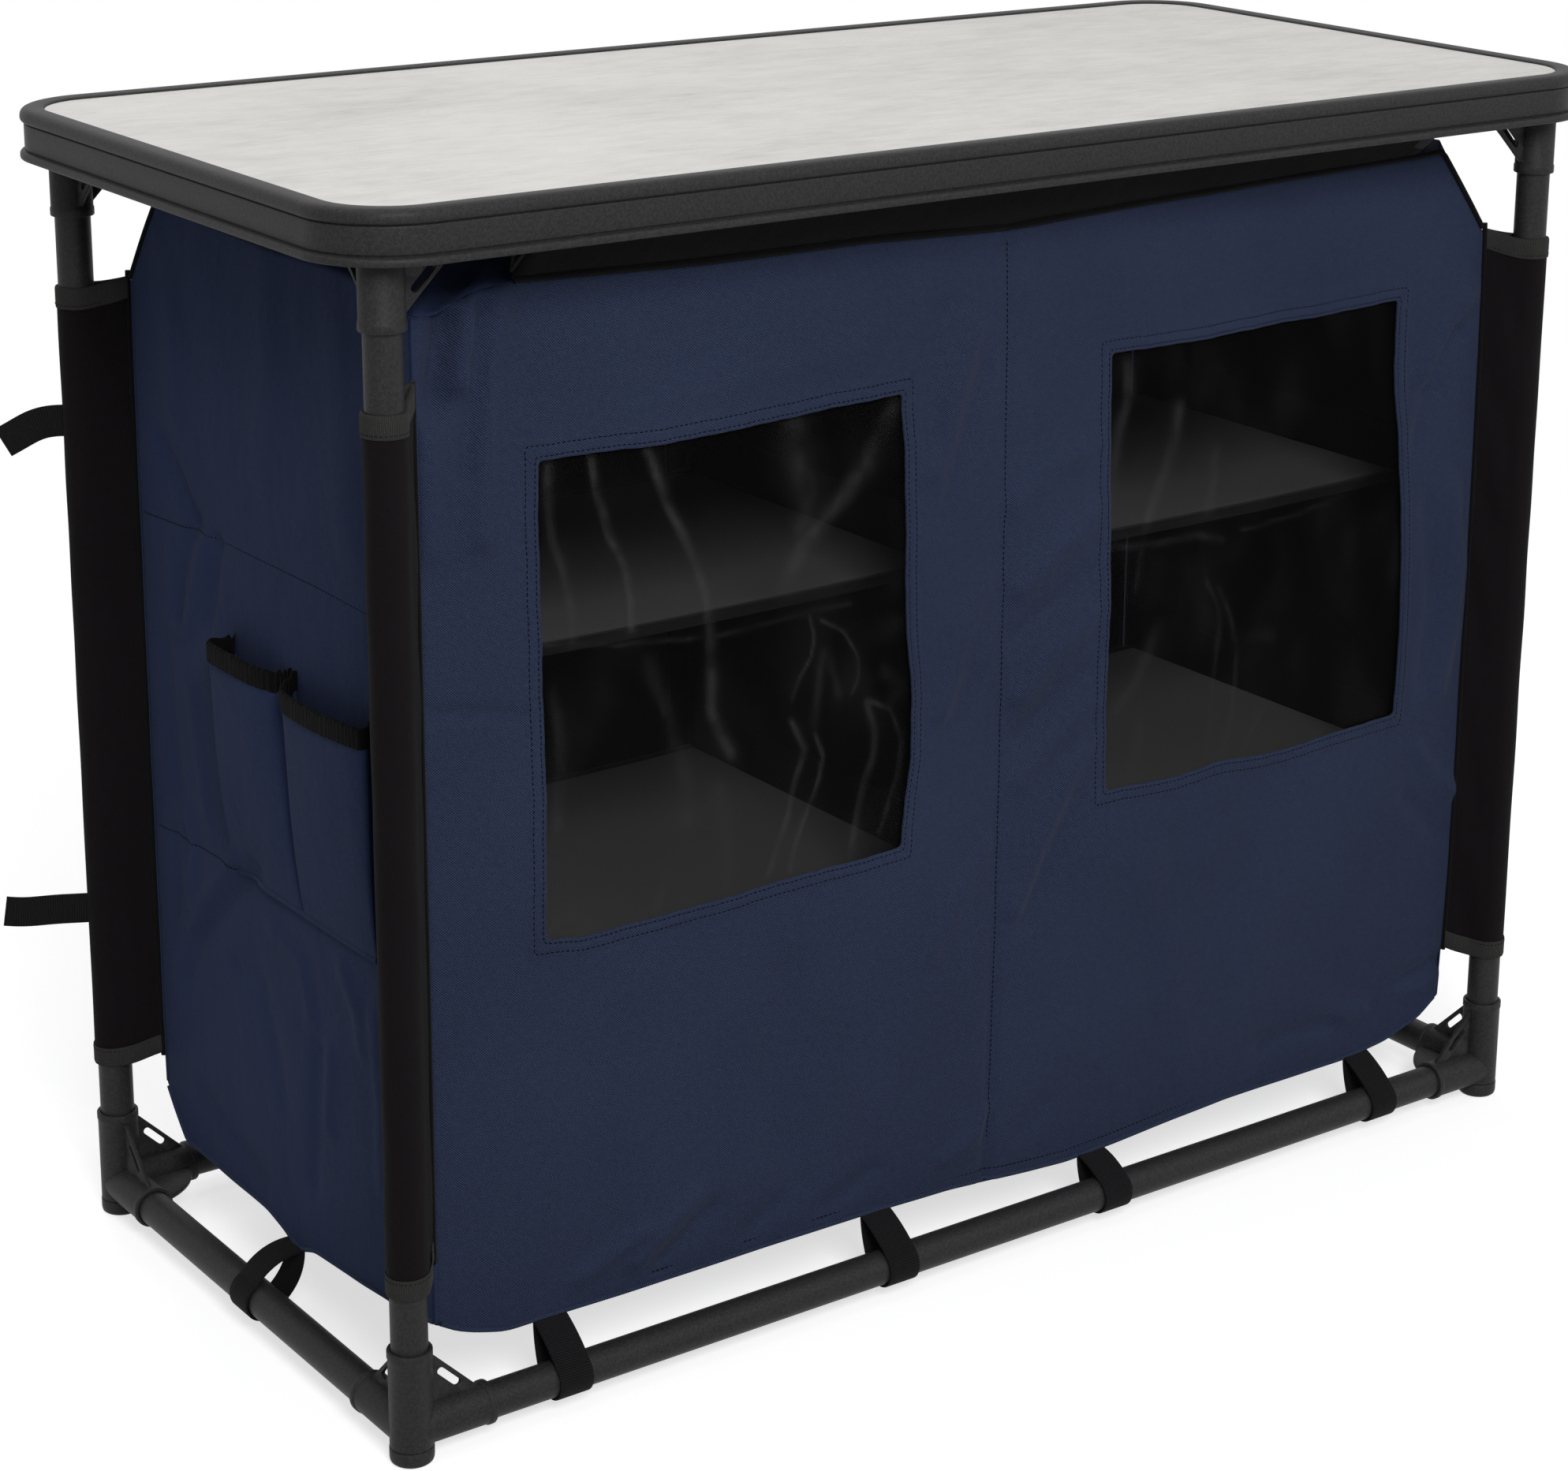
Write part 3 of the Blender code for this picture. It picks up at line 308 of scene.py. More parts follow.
def surface(name, points, material, cloth=None, keep=None, weld=False, flip=False, wall=0.0,
            crisp=None, inside=None):
    """A grid of points as quads.

    Point (i, j) is joined to (i + 1, j), (i + 1, j + 1) and (i, j + 1). The face looks along the
    cross product of the step in j and the step in i. cloth gives each point its place on the
    flat cloth, in metres. wall gives the sheet its thickness behind that face, in a material of
    its own where inside names one."""
    rows, columns = points.shape[:2]
    index = np.arange(rows * columns).reshape(rows, columns)
    quads = np.stack((index[:-1, :-1], index[:-1, 1:], index[1:, 1:], index[1:, :-1]), axis=-1)
    if flip:
        quads = quads[..., ::-1]
    quads = (quads if keep is None else quads[keep]).reshape(-1, 4)
    mesh = bpy.data.meshes.new(name)
    mesh.from_pydata(points.reshape(-1, 3), [], quads)
    if cloth is not None:
        spots = cloth.reshape(-1, 2)[quads.ravel()]
        mesh.uv_layers.new(name="cloth").data.foreach_set("uv", spots.ravel().astype(np.float32))
    shape = bmesh.new()
    shape.from_mesh(mesh)
    bmesh.ops.delete(shape, geom=[v for v in shape.verts if not v.link_faces], context="VERTS")
    if weld:
        bmesh.ops.remove_doubles(shape, verts=shape.verts, dist=0.00001)
        bmesh.ops.recalc_face_normals(shape, faces=shape.faces)
    shape.to_mesh(mesh)
    shape.free()
    mesh.shade_smooth()
    if crisp is not None:
        mesh.set_sharp_from_angle(angle=np.radians(crisp))
    mesh.materials.append(material)
    piece = placed(name, mesh)
    if wall:
        depth = piece.modifiers.new("thickness", "SOLIDIFY")
        depth.thickness = wall
        depth.offset = -1
        if inside is not None:
            mesh.materials.append(inside)
            depth.material_offset = 1
    return piece


def settle(piece, slot, *nodes, body="frame"):
    """The piece rides a body and stands for the frame's own nodes. The slot is not used."""
    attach(piece, body)
    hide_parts(*nodes)
    return piece


def joined(name, shells):
    """Several shells of one real piece as one object."""
    shape = bmesh.new()
    for shell in shells:
        shape.from_mesh(shell.data)
    mesh = bpy.data.meshes.new(name)
    shape.to_mesh(mesh)
    shape.free()
    for material in shells[0].data.materials:
        mesh.materials.append(material)
    for shell in shells:
        bpy.data.objects.remove(shell)
    return placed(name, mesh)


def spaced(stops, step):
    """Places that pass through every stop, no further apart than the step."""
    stops = np.asarray(stops, float)
    counts = np.maximum(1, np.ceil(np.diff(stops) / step - 1e-6).astype(int))
    runs = [np.linspace(a, b, n, endpoint=False) for a, b, n in zip(stops[:-1], stops[1:], counts)]
    return np.concatenate((*runs, stops[-1:]))


def rounded_loop(half_x, half_y, radius, step, corner_steps):
    """A rectangle with round corners: its points and outward directions, closed, anticlockwise.

    Each corner is a quarter circle about its own centre, and each side is cut into even steps."""
    arc = np.linspace(0, np.pi / 2, corner_steps + 1)
    sides = ((1, 1, 0, half_x), (-1, 1, 1, half_y), (-1, -1, 2, half_x), (1, -1, 3, half_y))
    points, ways = [], []
    for sign_x, sign_y, quarter, half in sides:
        angle = arc + quarter * np.pi / 2
        way = np.stack((np.cos(angle), np.sin(angle)), axis=1)
        centre = (sign_x * (half_x - radius), sign_y * (half_y - radius))
        corner = centre + radius * way
        run = spaced((0, 2 * (half - radius)), step)[1:-1, None]
        heading = np.array((-way[-1, 1], way[-1, 0]))
        points += [corner, corner[-1] + run * heading]
        ways += [way, np.repeat(way[-1:], len(run), axis=0)]
    points, ways = np.concatenate(points), np.concatenate(ways)
    return np.vstack((points, points[:1])), np.vstack((ways, ways[:1]))


def charcoal(name, shade, grain, roughness):
    """Charcoal with a fine pebbled grain, paler on the grain's highest specks and darker in its pits."""
    dark = Finish(name, Specular_IOR_Level=0.16)
    place = dark.object_place()
    fine = dark.noise(place, grain, 3.0, 0.7)
    pebble = dark.noise(place, grain * 0.36, 2.0, 0.6)
    broad = dark.noise(place, 14.0, 3.0, 0.55)
    share = fine.ramp(0.36, 0.66) * 0.55 + pebble.ramp(0.36, 0.66) * 0.30 + broad * 0.15
    low = tuple(0.40 * value for value in shade) + (1.0,)
    high = tuple(1.55 * value for value in shade) + (1.0,)
    dark.paint(dark.blend(share, low, high), roughness - 0.08 + 0.16 * fine)
    dark.relief(fine * 0.5 + pebble * 0.7, 0.00026, 0.7)
    return dark.material


def extent(node):
    """The least and the greatest corner of a node of the frame."""
    return [np.array(corner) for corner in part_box(node)]


RIM_CHARCOAL = charcoal("rim_charcoal", (0.022, 0.0215, 0.022), 1100.0, 0.52)

board_top = extent("worktop_board")[1][2]
LIP = 0.8 * MM
RIM_RADIUS = 58 * MM
rim_half = extent("worktop_rim")[1][:2] - LIP

# Each row is a distance in from the rim's outer face and a height over the board, in mm.
rim_section = MM * np.array((
    (16.0, -0.15), (16.0, 0.35), (15.8, 0.85), (15.2, 1.25), (14.0, 1.50), (11.0, 1.75),
    (8.0, 1.85), (5.2, 1.75), (3.6, 1.40), (2.2, 0.75), (1.1, -0.25), (0.4, -1.50), (0.08, -2.80),
    (0.0, -4.20), (0.1, -5.30), (0.45, -6.20), (1.0, -6.80), (1.9, -7.25), (2.8, -7.45), (3.4, -7.55),
    (3.4, -8.05), (2.8, -8.25), (2.5, -8.70), (2.4, -9.60), (2.4, -24.60), (2.6, -25.20), (3.3, -25.50),
    (3.3, -26.00), (2.2, -26.20), (1.0, -26.45), (0.1, -26.90), (-0.5, -27.60), (-0.78, -28.50),
    (-0.80, -30.30), (-0.60, -31.10), (-0.1, -31.50), (3.6, -31.50), (4.4, -31.20), (4.8, -30.60),
    (4.8, -5.80), (11.0, -5.80), (11.0, -3.80), (4.8, -3.80), (4.8, -0.20), (16.0, -0.15)))
loop, ways = rounded_loop(rim_half[0], rim_half[1], RIM_RADIUS, 0.05, 20)
rim_points = np.empty((len(rim_section), len(loop), 3))
rim_points[..., :2] = loop - rim_section[:, None, :1] * ways
rim_points[..., 2] = board_top + rim_section[:, None, 1]
rim = surface("worktop_rim_moulding", rim_points, RIM_CHARCOAL, weld=True, crisp=50)
settle(rim, "charcoal_rim", "worktop_rim")


# Legs and rails.
# Round steel tube, powder coated in charcoal. Each length is cut square and pushed into the
# moulded corners, so only the plain run between two sockets shows.

TUBE_COAT = charcoal("tube_powder_coat", (0.021, 0.0205, 0.0215), 1300.0, 0.50)
TUBE_SIDES = 48


def turned(name, material, profile, centre, way, sides=TUBE_SIDES, crisp=40):
    """A profile of (radius, distance) turned about an axis through a centre.

    Point = centre + distance * axis + radius * (cos a * first side + sin a * second side)."""
    profile = np.asarray(profile, float)
    axis = np.array(way, float)
    first = np.roll(axis, 1)
    second = np.cross(axis, first)
    angle = np.linspace(0, 2 * np.pi, sides + 1)
    rings = profile[:, None, :1] * (np.cos(angle)[:, None] * first + np.sin(angle)[:, None] * second)
    points = np.asarray(centre) + profile[:, None, 1:] * axis + rings
    return surface(name, points, material, weld=True, crisp=crisp)


def tube(node):
    """A tube of the node's length: outer wall, square ends with a broken edge, and inner wall."""
    low, high = extent(node)
    size = high - low
    axis = int(np.argmax(size))
    radius = np.median(size) / 2
    half = size[axis] / 2
    wall, edge = 1.2 * MM, 0.3 * MM
    way = np.eye(3)[axis]
    profile = ((radius - wall, -half), (radius - edge, -half), (radius, -half + edge),
               (radius, half - edge), (radius - edge, half), (radius - wall, half),
               (radius - wall, -half))
    made = turned(node + "_tube", TUBE_COAT, profile, (low + high) / 2, way)
    settle(made, "charcoal_coat", node)


CORNERS = ("front_left", "front_right", "rear_left", "rear_right")
for level in ("lower", "upper"):
    for side in ("front", "rear", "left", "right"):
        tube(f"{level}_rail_{side}")
for place in CORNERS:
    tube(f"leg_{place}")


# Three-way corners.
# Charcoal mouldings with three sockets at right angles. Each socket ends in a raised band.
# Thin slotted webs brace the post, and a flat quarter-round web braces the two arms.

CORNER_CHARCOAL = charcoal("corner_charcoal", (0.021, 0.0205, 0.0215), 1100.0, 0.56)
POST_RADIUS, ARM_RADIUS, BAND_RADIUS = 14.0 * MM, 13.7 * MM, 14.5 * MM
REACH, BORE = 55 * MM, 12.15 * MM


def socket_profile(radius, start, band):
    """Outline of one socket: plain wall, a rounded step to its end band, the mouth and the bore."""
    step = 0.5 * MM
    swell = BAND_RADIUS - radius
    return ((0, start), (radius, start), (radius, REACH - band - step),
            (radius + 0.5 * swell, REACH - band - 0.3 * step), (radius + swell, REACH - band + step),
            (radius + swell, REACH - step), (radius + swell - 0.5 * step, REACH - 0.2 * step),
            (radius + swell - step, REACH), (BORE + 0.3 * MM, REACH), (BORE, REACH - 0.4 * MM),
            (BORE, 0.3 * REACH), (0, 0.3 * REACH))


def ring_plate(name, outer, inner, thickness, place):
    """A flat plate with a hole: a rounded edge section carried from the hole to the outline.

    outer and inner are matching closed loops in the plate's own plane. place turns a point of
    that plane and a height into a point of the row frame."""
    half, edge = thickness / 2, 0.5 * MM
    away = outer - inner
    length = np.linalg.norm(away, axis=1, keepdims=True)
    out = away / length
    rows = ((inner, 0, -half + edge), (inner, edge, -half), (outer, -edge, -half), (outer, 0, -half + edge),
            (outer, 0, half - edge), (outer, -edge, half), (inner, edge, half), (inner, 0, half - edge),
            (inner, 0, -half + edge))
    flat = np.stack([base + shift * out for base, shift, height in rows])
    height = np.array([height for base, shift, height in rows])[:, None] * np.ones(flat.shape[:2])
    return surface(name, place(flat, height), CORNER_CHARCOAL, weld=True, crisp=50)


def slot_loops():
    """The gusset's outline and its slot, both read off at the same angles about the slot's middle.

    The outline's reach along an angle is the nearest of its five straight edges. The slot's reach
    is where that ray leaves a straight bar with round ends."""
    reach, step = 49 * MM, 0.9 * POST_RADIUS
    corners = np.array(((0, 0), (reach, 0), (reach, step), (step, reach), (0, reach)))
    half_run, half_width = 8 * MM, 2.5 * MM
    inward = (3 * MM + half_width) / np.sqrt(2)
    middle = np.full(2, (reach + step) / 2 - inward)
    spokes = corners - middle
    angle = np.sort(np.concatenate((np.arctan2(spokes[:, 1], spokes[:, 0]),
                                    np.linspace(-np.pi, np.pi, 60, endpoint=False))))
    ray = np.stack((np.cos(angle), np.sin(angle)), axis=1)
    edge = np.roll(corners, -1, axis=0) - corners
    normal = np.stack((edge[:, 1], -edge[:, 0]), axis=1)
    normal /= np.linalg.norm(normal, axis=1, keepdims=True)
    gap = np.sum((corners - middle) * normal, axis=1)
    facing = ray @ normal.T
    outer_reach = np.min(np.where(facing > 1e-9, gap / np.maximum(facing, 1e-9), np.inf), axis=1)
    along = np.abs(ray @ np.array((1, -1)) / np.sqrt(2))
    across = np.abs(ray @ np.array((1, 1)) / np.sqrt(2))
    side_reach = half_width / np.maximum(across, 1e-9)
    end_reach = half_run * along + np.sqrt(np.maximum(half_width ** 2 - (half_run * across) ** 2, 0))
    inner_reach = np.where(side_reach * along < half_run, side_reach, end_reach)
    loops = [middle + reach[:, None] * ray for reach in (outer_reach, inner_reach)]
    return [np.vstack((points, points[:1])) for points in loops]


def corner(node, foot):
    """A three-way corner in its own axes, turned to face the middle of the cupboard."""
    low, high = extent(node)
    toward = np.where(low + high > 0, -1.0, 1.0)
    toward[2] = 1.0 if foot else -1.0
    hub = np.where(toward > 0, low + BAND_RADIUS, high - BAND_RADIUS)
    hub[2] = high[2] - REACH if foot else low[2] + REACH
    hub_face = 11.45 * MM
    shells = [turned("post", CORNER_CHARCOAL, socket_profile(POST_RADIUS, -hub_face, 5.5 * MM),
                     hub, (0, 0, toward[2])),
              turned("arm_x", CORNER_CHARCOAL, socket_profile(ARM_RADIUS, 0, 4.2 * MM),
                     hub, (toward[0], 0, 0)),
              turned("arm_y", CORNER_CHARCOAL, socket_profile(ARM_RADIUS, 0, 4.2 * MM),
                     hub, (0, toward[1], 0))]
    outer, inner = slot_loops()

    def in_plane(first, second):
        """What sets a plate in the plane of two axes through the hub."""
        third = 3 - first - second

        def place(flat, height):
            """The hub, with the plate's two parts added along its axes and its height along the third."""
            points = np.empty(flat.shape[:2] + (3,))
            points[..., first] = hub[first] + toward[first] * flat[..., 0]
            points[..., second] = hub[second] + toward[second] * flat[..., 1]
            points[..., third] = hub[third] + height
            return points
        return place

    for first in (0, 1):
        shells.append(ring_plate("web", outer, inner, 3 * MM, in_plane(first, 2)))
    angle = np.linspace(0, np.pi / 2, 25)
    quarter = 50 * MM * np.stack((np.cos(angle), np.sin(angle)), axis=1)
    core = np.zeros_like(quarter)
    shells.append(ring_plate("flat_web", np.vstack((quarter, core[:1], quarter[:1])),
                             np.full((27, 2), 4 * MM), 3.4 * MM, in_plane(0, 1)))
    made = joined(node + "_moulding", shells)
    settle(made, "charcoal_moulding", node)


for place in CORNERS:
    corner(f"lower_corner_{place}", True)
    corner(f"upper_corner_{place}", False)


# Foot caps.
# Round charcoal plugs pushed up into the lower corners, with a rounded lower edge and a dark
# line where they meet the corner.

plug_profile = MM * np.array((
    (0, 0), (11.5, 0), (12.8, 0.4), (13.7, 1.2), (14.1, 2.3), (14.3, 4.0), (14.3, 9.9), (14.0, 10.4),
    (13.4, 10.6), (8.0, 10.8), (8.0, 18.6), (0, 18.9)))
for place in CORNERS:
    node = f"foot_cap_{place}"
    low, high = extent(node)
    made = turned(node + "_plug", CORNER_CHARCOAL, plug_profile, (*(low + high)[:2] / 2, low[2]), (0, 0, 1))
    settle(made, "charcoal_moulding", node)


# Windowed front.
# One panel of navy twill, sewn to the side walls, roof and floor along its edges and to the
# divider down its middle. Two windows are cut in it, and it bellies out a little over each.

HALF_X, HALF_Y = 443.5 * MM, 190 * MM
ROOF, FLOOR = 745 * MM, 55 * MM
WINDOW_IN, WINDOW_OUT = 89 * MM, 363 * MM
SILL, LINTEL = 321 * MM, 638 * MM
WINDOW_MIDDLE, WINDOW_HALF = (WINDOW_IN + WINDOW_OUT) / 2, (WINDOW_OUT - WINDOW_IN) / 2
CLOTH_STEP, COARSE_STEP = 4.5 * MM, 9 * MM


def twill(name, dark, light, pitch, slant, depth, sheen=0.03, gloss=0.05, crumple=0.0):
    """Diagonal weave. Lines of yarn a pitch apart wander a little and are broken by their fibres. Its colour
    is paler where the bump raises the yarn and darker between: partly the yarns' own tone, partly painted
    highlight and painted shade.

    The lines' phase is (across + slant * up) / pitch on the flat cloth. crumple is the height in
    mm of the soft creases that handling leaves in it, a few centimetres across."""
    cloth = Finish(name, Roughness=0.8, Specular_IOR_Level=gloss, Sheen_Weight=sheen, Sheen_Roughness=0.5)
    place = cloth.cloth_place()
    across, up, _ = cloth.along(place)
    wander = cloth.noise(place, 60.0, 2.0) * 1.0 + cloth.noise(place, 700.0, 2.0) * 0.5
    phase = (across + up * slant) * (1 / pitch) + wander
    line = (phase * (2 * np.pi)).sine() * 0.5 + 0.5
    fibre = cloth.noise(cloth.stretched(place, (1.0, 1.0, 1.0), (0, 0, 0.8)), 1300.0, 3.0, 0.75)
    slub = cloth.noise(place, 210.0, 3.0, 0.6)
    broad = cloth.noise(cloth.object_place(), 6.0, 3.0, 0.6)
    # Paler on the raised yarn and darker in the troughs: the yarns' tone with painted highlight and painted
    # shade.
    share = line * 0.6 + fibre * 1.2 + slub * 0.22 + broad * 0.2 - 0.61
    cloth.paint(cloth.blend(share.ramp(0.0, 1.0), dark, light))
    height = (line * 0.8 + fibre * 0.6 + slub * 0.15) * (depth / MM)
    if crumple:
        creases = cloth.noise(cloth.stretched(cloth.object_place(), (1.0, 1.0, 0.6)), 24.0, 3.0, 0.5)
        height = height + creases * crumple
    cloth.relief(height, MM, 0.9)
    return cloth.material


def linear(red, green, blue):
    """A screen colour from 0 to 255 as light values."""
    share = np.array((red, green, blue)) / 255
    light = np.where(share <= 0.04045, share / 12.92, ((share + 0.055) / 1.055) ** 2.4)
    return (*(float(value) for value in light), 1.0)


FRONT_TWILL = twill("navy_front_twill", linear(17, 22, 36), linear(56, 66, 93), 1.7 * MM, 1.0, 0.00024,
                   crumple=3.2)
# The side twill is a copy of the front's navy with colours of its own, set so that the walls facing away
# from the key lamp come out as light as they look: painted light.
SIDE_TWILL = twill("navy_side_twill", linear(21, 28, 47), linear(50, 62, 97), 1.2 * MM, 1.0, 0.00014,
                  crumple=4.5)
# The seam thread is coloured much darker than the navy cloth: painted shade for the stitch holes and the
# puckers each row sinks into.
SEAM_THREAD_PAINTED_SHADE = twill("navy_thread_painted_shade", linear(7, 9, 16), linear(18, 23, 36), 0.5 * MM, 1.0, 0.00006)
PIPING_BLACK = twill("black_piping", linear(6, 6, 7), linear(18, 18, 19), 0.7 * MM, -1.0, 0.00010)
BLACK_COAT = twill("black_coat", linear(5, 5, 5), linear(17, 17, 17), 0.9 * MM, 1.0, 0.00006, 0.0, 0.02)
# The navy twill's thickness, and the black coat on its inside.
LINED = {"wall": 1.1 * MM, "inside": BLACK_COAT}


def at(*parts):
    """Places, or spots on the flat cloth, from their parts, each spread out to one shape."""
    return np.stack(np.broadcast_arrays(*parts), axis=-1)


def crossed(first, second):
    """Two grids: the first values from row to row and the second from column to column."""
    return np.meshgrid(first, second, indexing="ij")


def eased(points):
    """A smooth curve through measured pairs, as a function: straight runs blurred over 12 mm."""
    places, values = MM * np.asarray(points, float).T
    fine = np.arange(places[0] - 0.06, places[-1] + 0.06, 0.001)
    blur = np.exp(-np.linspace(-2, 2, 25) ** 2)
    smooth = np.convolve(np.interp(fine, places, values), blur / blur.sum(), mode="same")
    return lambda place: np.interp(place, fine[15:-15], smooth[15:-15])


roof_front = eased((
    (-443, -19), (-433, -20), (-425, -18), (-419, -14), (-412, -10.5), (-404, -9.5), (-391, -6.5),
    (-374, -4.5), (-233, -8.5), (-112, -9), (0, -13), (70, -10.5), (110, -9), (250, -5), (378, -2),
    (402, 0), (443, 0)))
roof_rear = eased((
    (-443, 0), (-380, -2), (-200, -5), (0, -3), (200, -5), (380, -2), (443, 0)))
roof_left = eased((
    (-190, -19), (-175, -15), (-150, -9), (-110, -5), (0, -6), (110, -3), (150, -1), (190, 0)))
roof_right = eased((
    (-190, 0), (-110, -3), (0, -6), (110, -3), (190, 0)))
floor_front = eased((
    (-443, 20), (-430, 11), (-416, 5.5), (-393, -1), (-300, -2), (-137, -2), (-34, -4), (37, -10),
    (73, -12.5), (110, -10.5), (148, -8.5), (225, -4), (346, -4), (390, 1), (424, 11.5), (443, 27)))
floor_rear = eased((
    (-443, 0), (-360, -4), (-200, 0), (-96, -4), (0, 0), (96, -4), (200, 0), (360, -4), (443, 0)))
floor_left = eased((
    (-190, 20), (-160, 13), (-126, 11), (-94, 7), (-51, 4), (-29, 2), (-6, -7), (14, 1), (37, 6), (110, 8),
    (160, 8), (190, 4)))
floor_right = eased((
    (-190, 27), (-165, 9), (-100, 2), (-20, 0), (-4, -6), (20, 1), (100, 3), (160, 2), (190, 0)))


def edges_blend(x, y, front, rear, left, right):
    """Each edge's own curve, faded inward over 45 mm, and its corners counted once."""
    near = [np.exp(-(gap / 0.045) ** 2) for gap in (HALF_Y + y, HALF_Y - y, HALF_X + x, HALF_X - x)]
    lift = front(x) * near[0] + rear(x) * near[1] + left(y) * near[2] + right(y) * near[3]
    for side_x, near_x in ((-HALF_X, near[2]), (HALF_X, near[3])):
        lift = lift - (front(side_x) * near[0] + rear(side_x) * near[1]) * near_x
    return lift


# How far a cut corner reaches in along x and y, and how far down or up it slants.
ROOF_CUT, FLOOR_CUT = (43.5 * MM, 45 * MM, 62 * MM), (30 * MM, 30 * MM, 40 * MM)


def corner_share(x, y, cut_x, cut_y):
    """0 up to a slanting line across a corner of the cabinet, and 1 at the corner itself."""
    return np.maximum(0, (np.abs(x) - HALF_X + cut_x) / cut_x + (np.abs(y) - HALF_Y + cut_y) / cut_y - 1)


def roof_height(x, y):
    """The roof: its edges' sag, and a slanting cut at every corner but the slack left front one."""
    x, y = np.broadcast_arrays(x, y)
    taut = np.where((x < 0) & (y < 0), 0.0, 1.0)
    sag = -4 * MM * (1 - (x / HALF_X) ** 2) * (1 - (y / HALF_Y) ** 2)
    return (ROOF + edges_blend(x, y, roof_front, roof_rear, roof_left, roof_right) + sag
            - ROOF_CUT[2] * taut * corner_share(x, y, *ROOF_CUT[:2]))


def floor_height(x, y):
    """The floor: its edges' sag between the loops, and a slanting cut at both rear corners."""
    x, y = np.broadcast_arrays(x, y)
    rear = np.where(y > 0, 1.0, 0.0)
    return (FLOOR + edges_blend(x, y, floor_front, floor_rear, floor_left, floor_right)
            + FLOOR_CUT[2] * rear * corner_share(x, y, *FLOOR_CUT[:2]))


def swell(z):
    """How full the cabinet stands out at a height: 1 at its middle, 0 at its roof and floor."""
    return np.clip(1 - np.abs((z - 0.40) / 0.345) ** 4, 0, 1)


def ridge(x, z, path, height, width):
    """A soft ridge along a path, or a valley where its height is below 0.

    It falls off with the distance to the nearest run of the path as a bell curve does."""
    path = MM * np.asarray(path, float)
    nearest = np.full(np.broadcast(x, z).shape, np.inf)
    for (start_x, start_z), (end_x, end_z) in zip(path[:-1], path[1:]):
        run_x, run_z = end_x - start_x, end_z - start_z
        along = ((x - start_x) * run_x + (z - start_z) * run_z) / (run_x ** 2 + run_z ** 2)
        along = np.clip(along, 0, 1)
        nearest = np.minimum(nearest, np.hypot(x - start_x - along * run_x, z - start_z - along * run_z))
    return MM * height * np.exp(-(nearest / (MM * width)) ** 2)


# Each fold of the front: its path in mm across and up, its height and its half width in mm.
FRONT_FOLDS = (
    (((-408, 725), (-411, 705), (-414, 685)), 9.8, 8),
    (((-422, 724), (-424, 707), (-428, 686), (-431, 670)), -9.8, 8),
    (((-385, 729), (-391, 698), (-396, 665), (-399, 627), (-401, 588)), 6.3, 9),
    (((-398, 727), (-402, 700), (-406, 666), (-409, 628)), -5.4, 6),
    (((-436, 671), (-435, 632), (-435, 584)), 3.9, 7), (((-435, 482), (-409, 478), (-369, 469)), -3.1, 4.4),
    (((-61, 576), (-45, 622), (-27, 672)), 5.4, 7.9), (((-50, 542), (-34, 588), (-17, 639)), -3.9, 7),
    (((-59, 597), (-63, 640), (-53, 686)), -3.4, 7.9), (((-50, 410), (-38, 452), (-16, 493)), 3.9, 7.9),
    (((-57, 356), (-45, 392), (-21, 427)), -3.1, 7.9), (((14, 485), (48, 510), (85, 532)), 6.3, 8.8),
    (((12, 449), (49, 471), (87, 495)), -4.9, 7.9), (((16, 409), (47, 437), (89, 458)), 6.3, 8.8),
    (((17, 377), (51, 402), (90, 424)), -4.3, 7.9), (((18, 346), (45, 372), (88, 395)), 4.9, 7.9),
    (((16, 253), (37, 301), (64, 348), (89, 366)), 5.4, 7), (((28, 239), (48, 281), (72, 323)), -3.9, 7),
    (((10, 544), (39, 567), (80, 577)), 3.9, 8.8), (((-55, 235), (-31, 276), (-9, 305)), 3.0, 7.9),
    (((386, 586), (408, 619), (429, 640)), 6.8, 8.8), (((384, 533), (396, 579), (421, 611)), -5.4, 7.9),
    (((376, 570), (408, 568)), -3.0, 3.1), (((422, 492), (432, 429), (429, 380), (419, 338)), 5.4, 8.8),
    (((399, 483), (409, 408), (404, 348)), -4.3, 7.9), (((400, 292), (423, 265), (441, 252)), 3.9, 7),
    (((391, 256), (412, 239), (432, 216)), -3.4, 7), (((-335, 76), (-305, 90), (-285, 97)), 3.9, 6.2),
    (((-293, 75), (-268, 95), (-249, 110)), 4.9, 6.2), (((-274, 67), (-249, 85), (-234, 97)), -3.9, 6.2),
    (((-202, 71), (-182, 83)), -4.3, 7), (((-140, 70), (-113, 80), (-100, 86)), -3.4, 7),
    (((-38, 77), (-10, 88), (-3, 104)), 3.9, 6.2), (((33, 76), (47, 96)), -2.4, 7),
    (((259, 84), (291, 89), (331, 85)), -3.9, 7.9), (((372, 94), (413, 104), (438, 111)), -4.3, 7),
    (((339, 89), (389, 97), (422, 95)), 3.4, 5.3), (((-259, 656), (-188, 662), (-114, 668)), 2.4, 10.6),
    (((136, 256), (162, 165), (180, 105)), 2.4, 19.4), (((-285, 268), (-298, 189), (-280, 105)), 3.1, 21.1),
    (((-173, 247), (-186, 170), (-166, 96)), -3.0, 21.1))


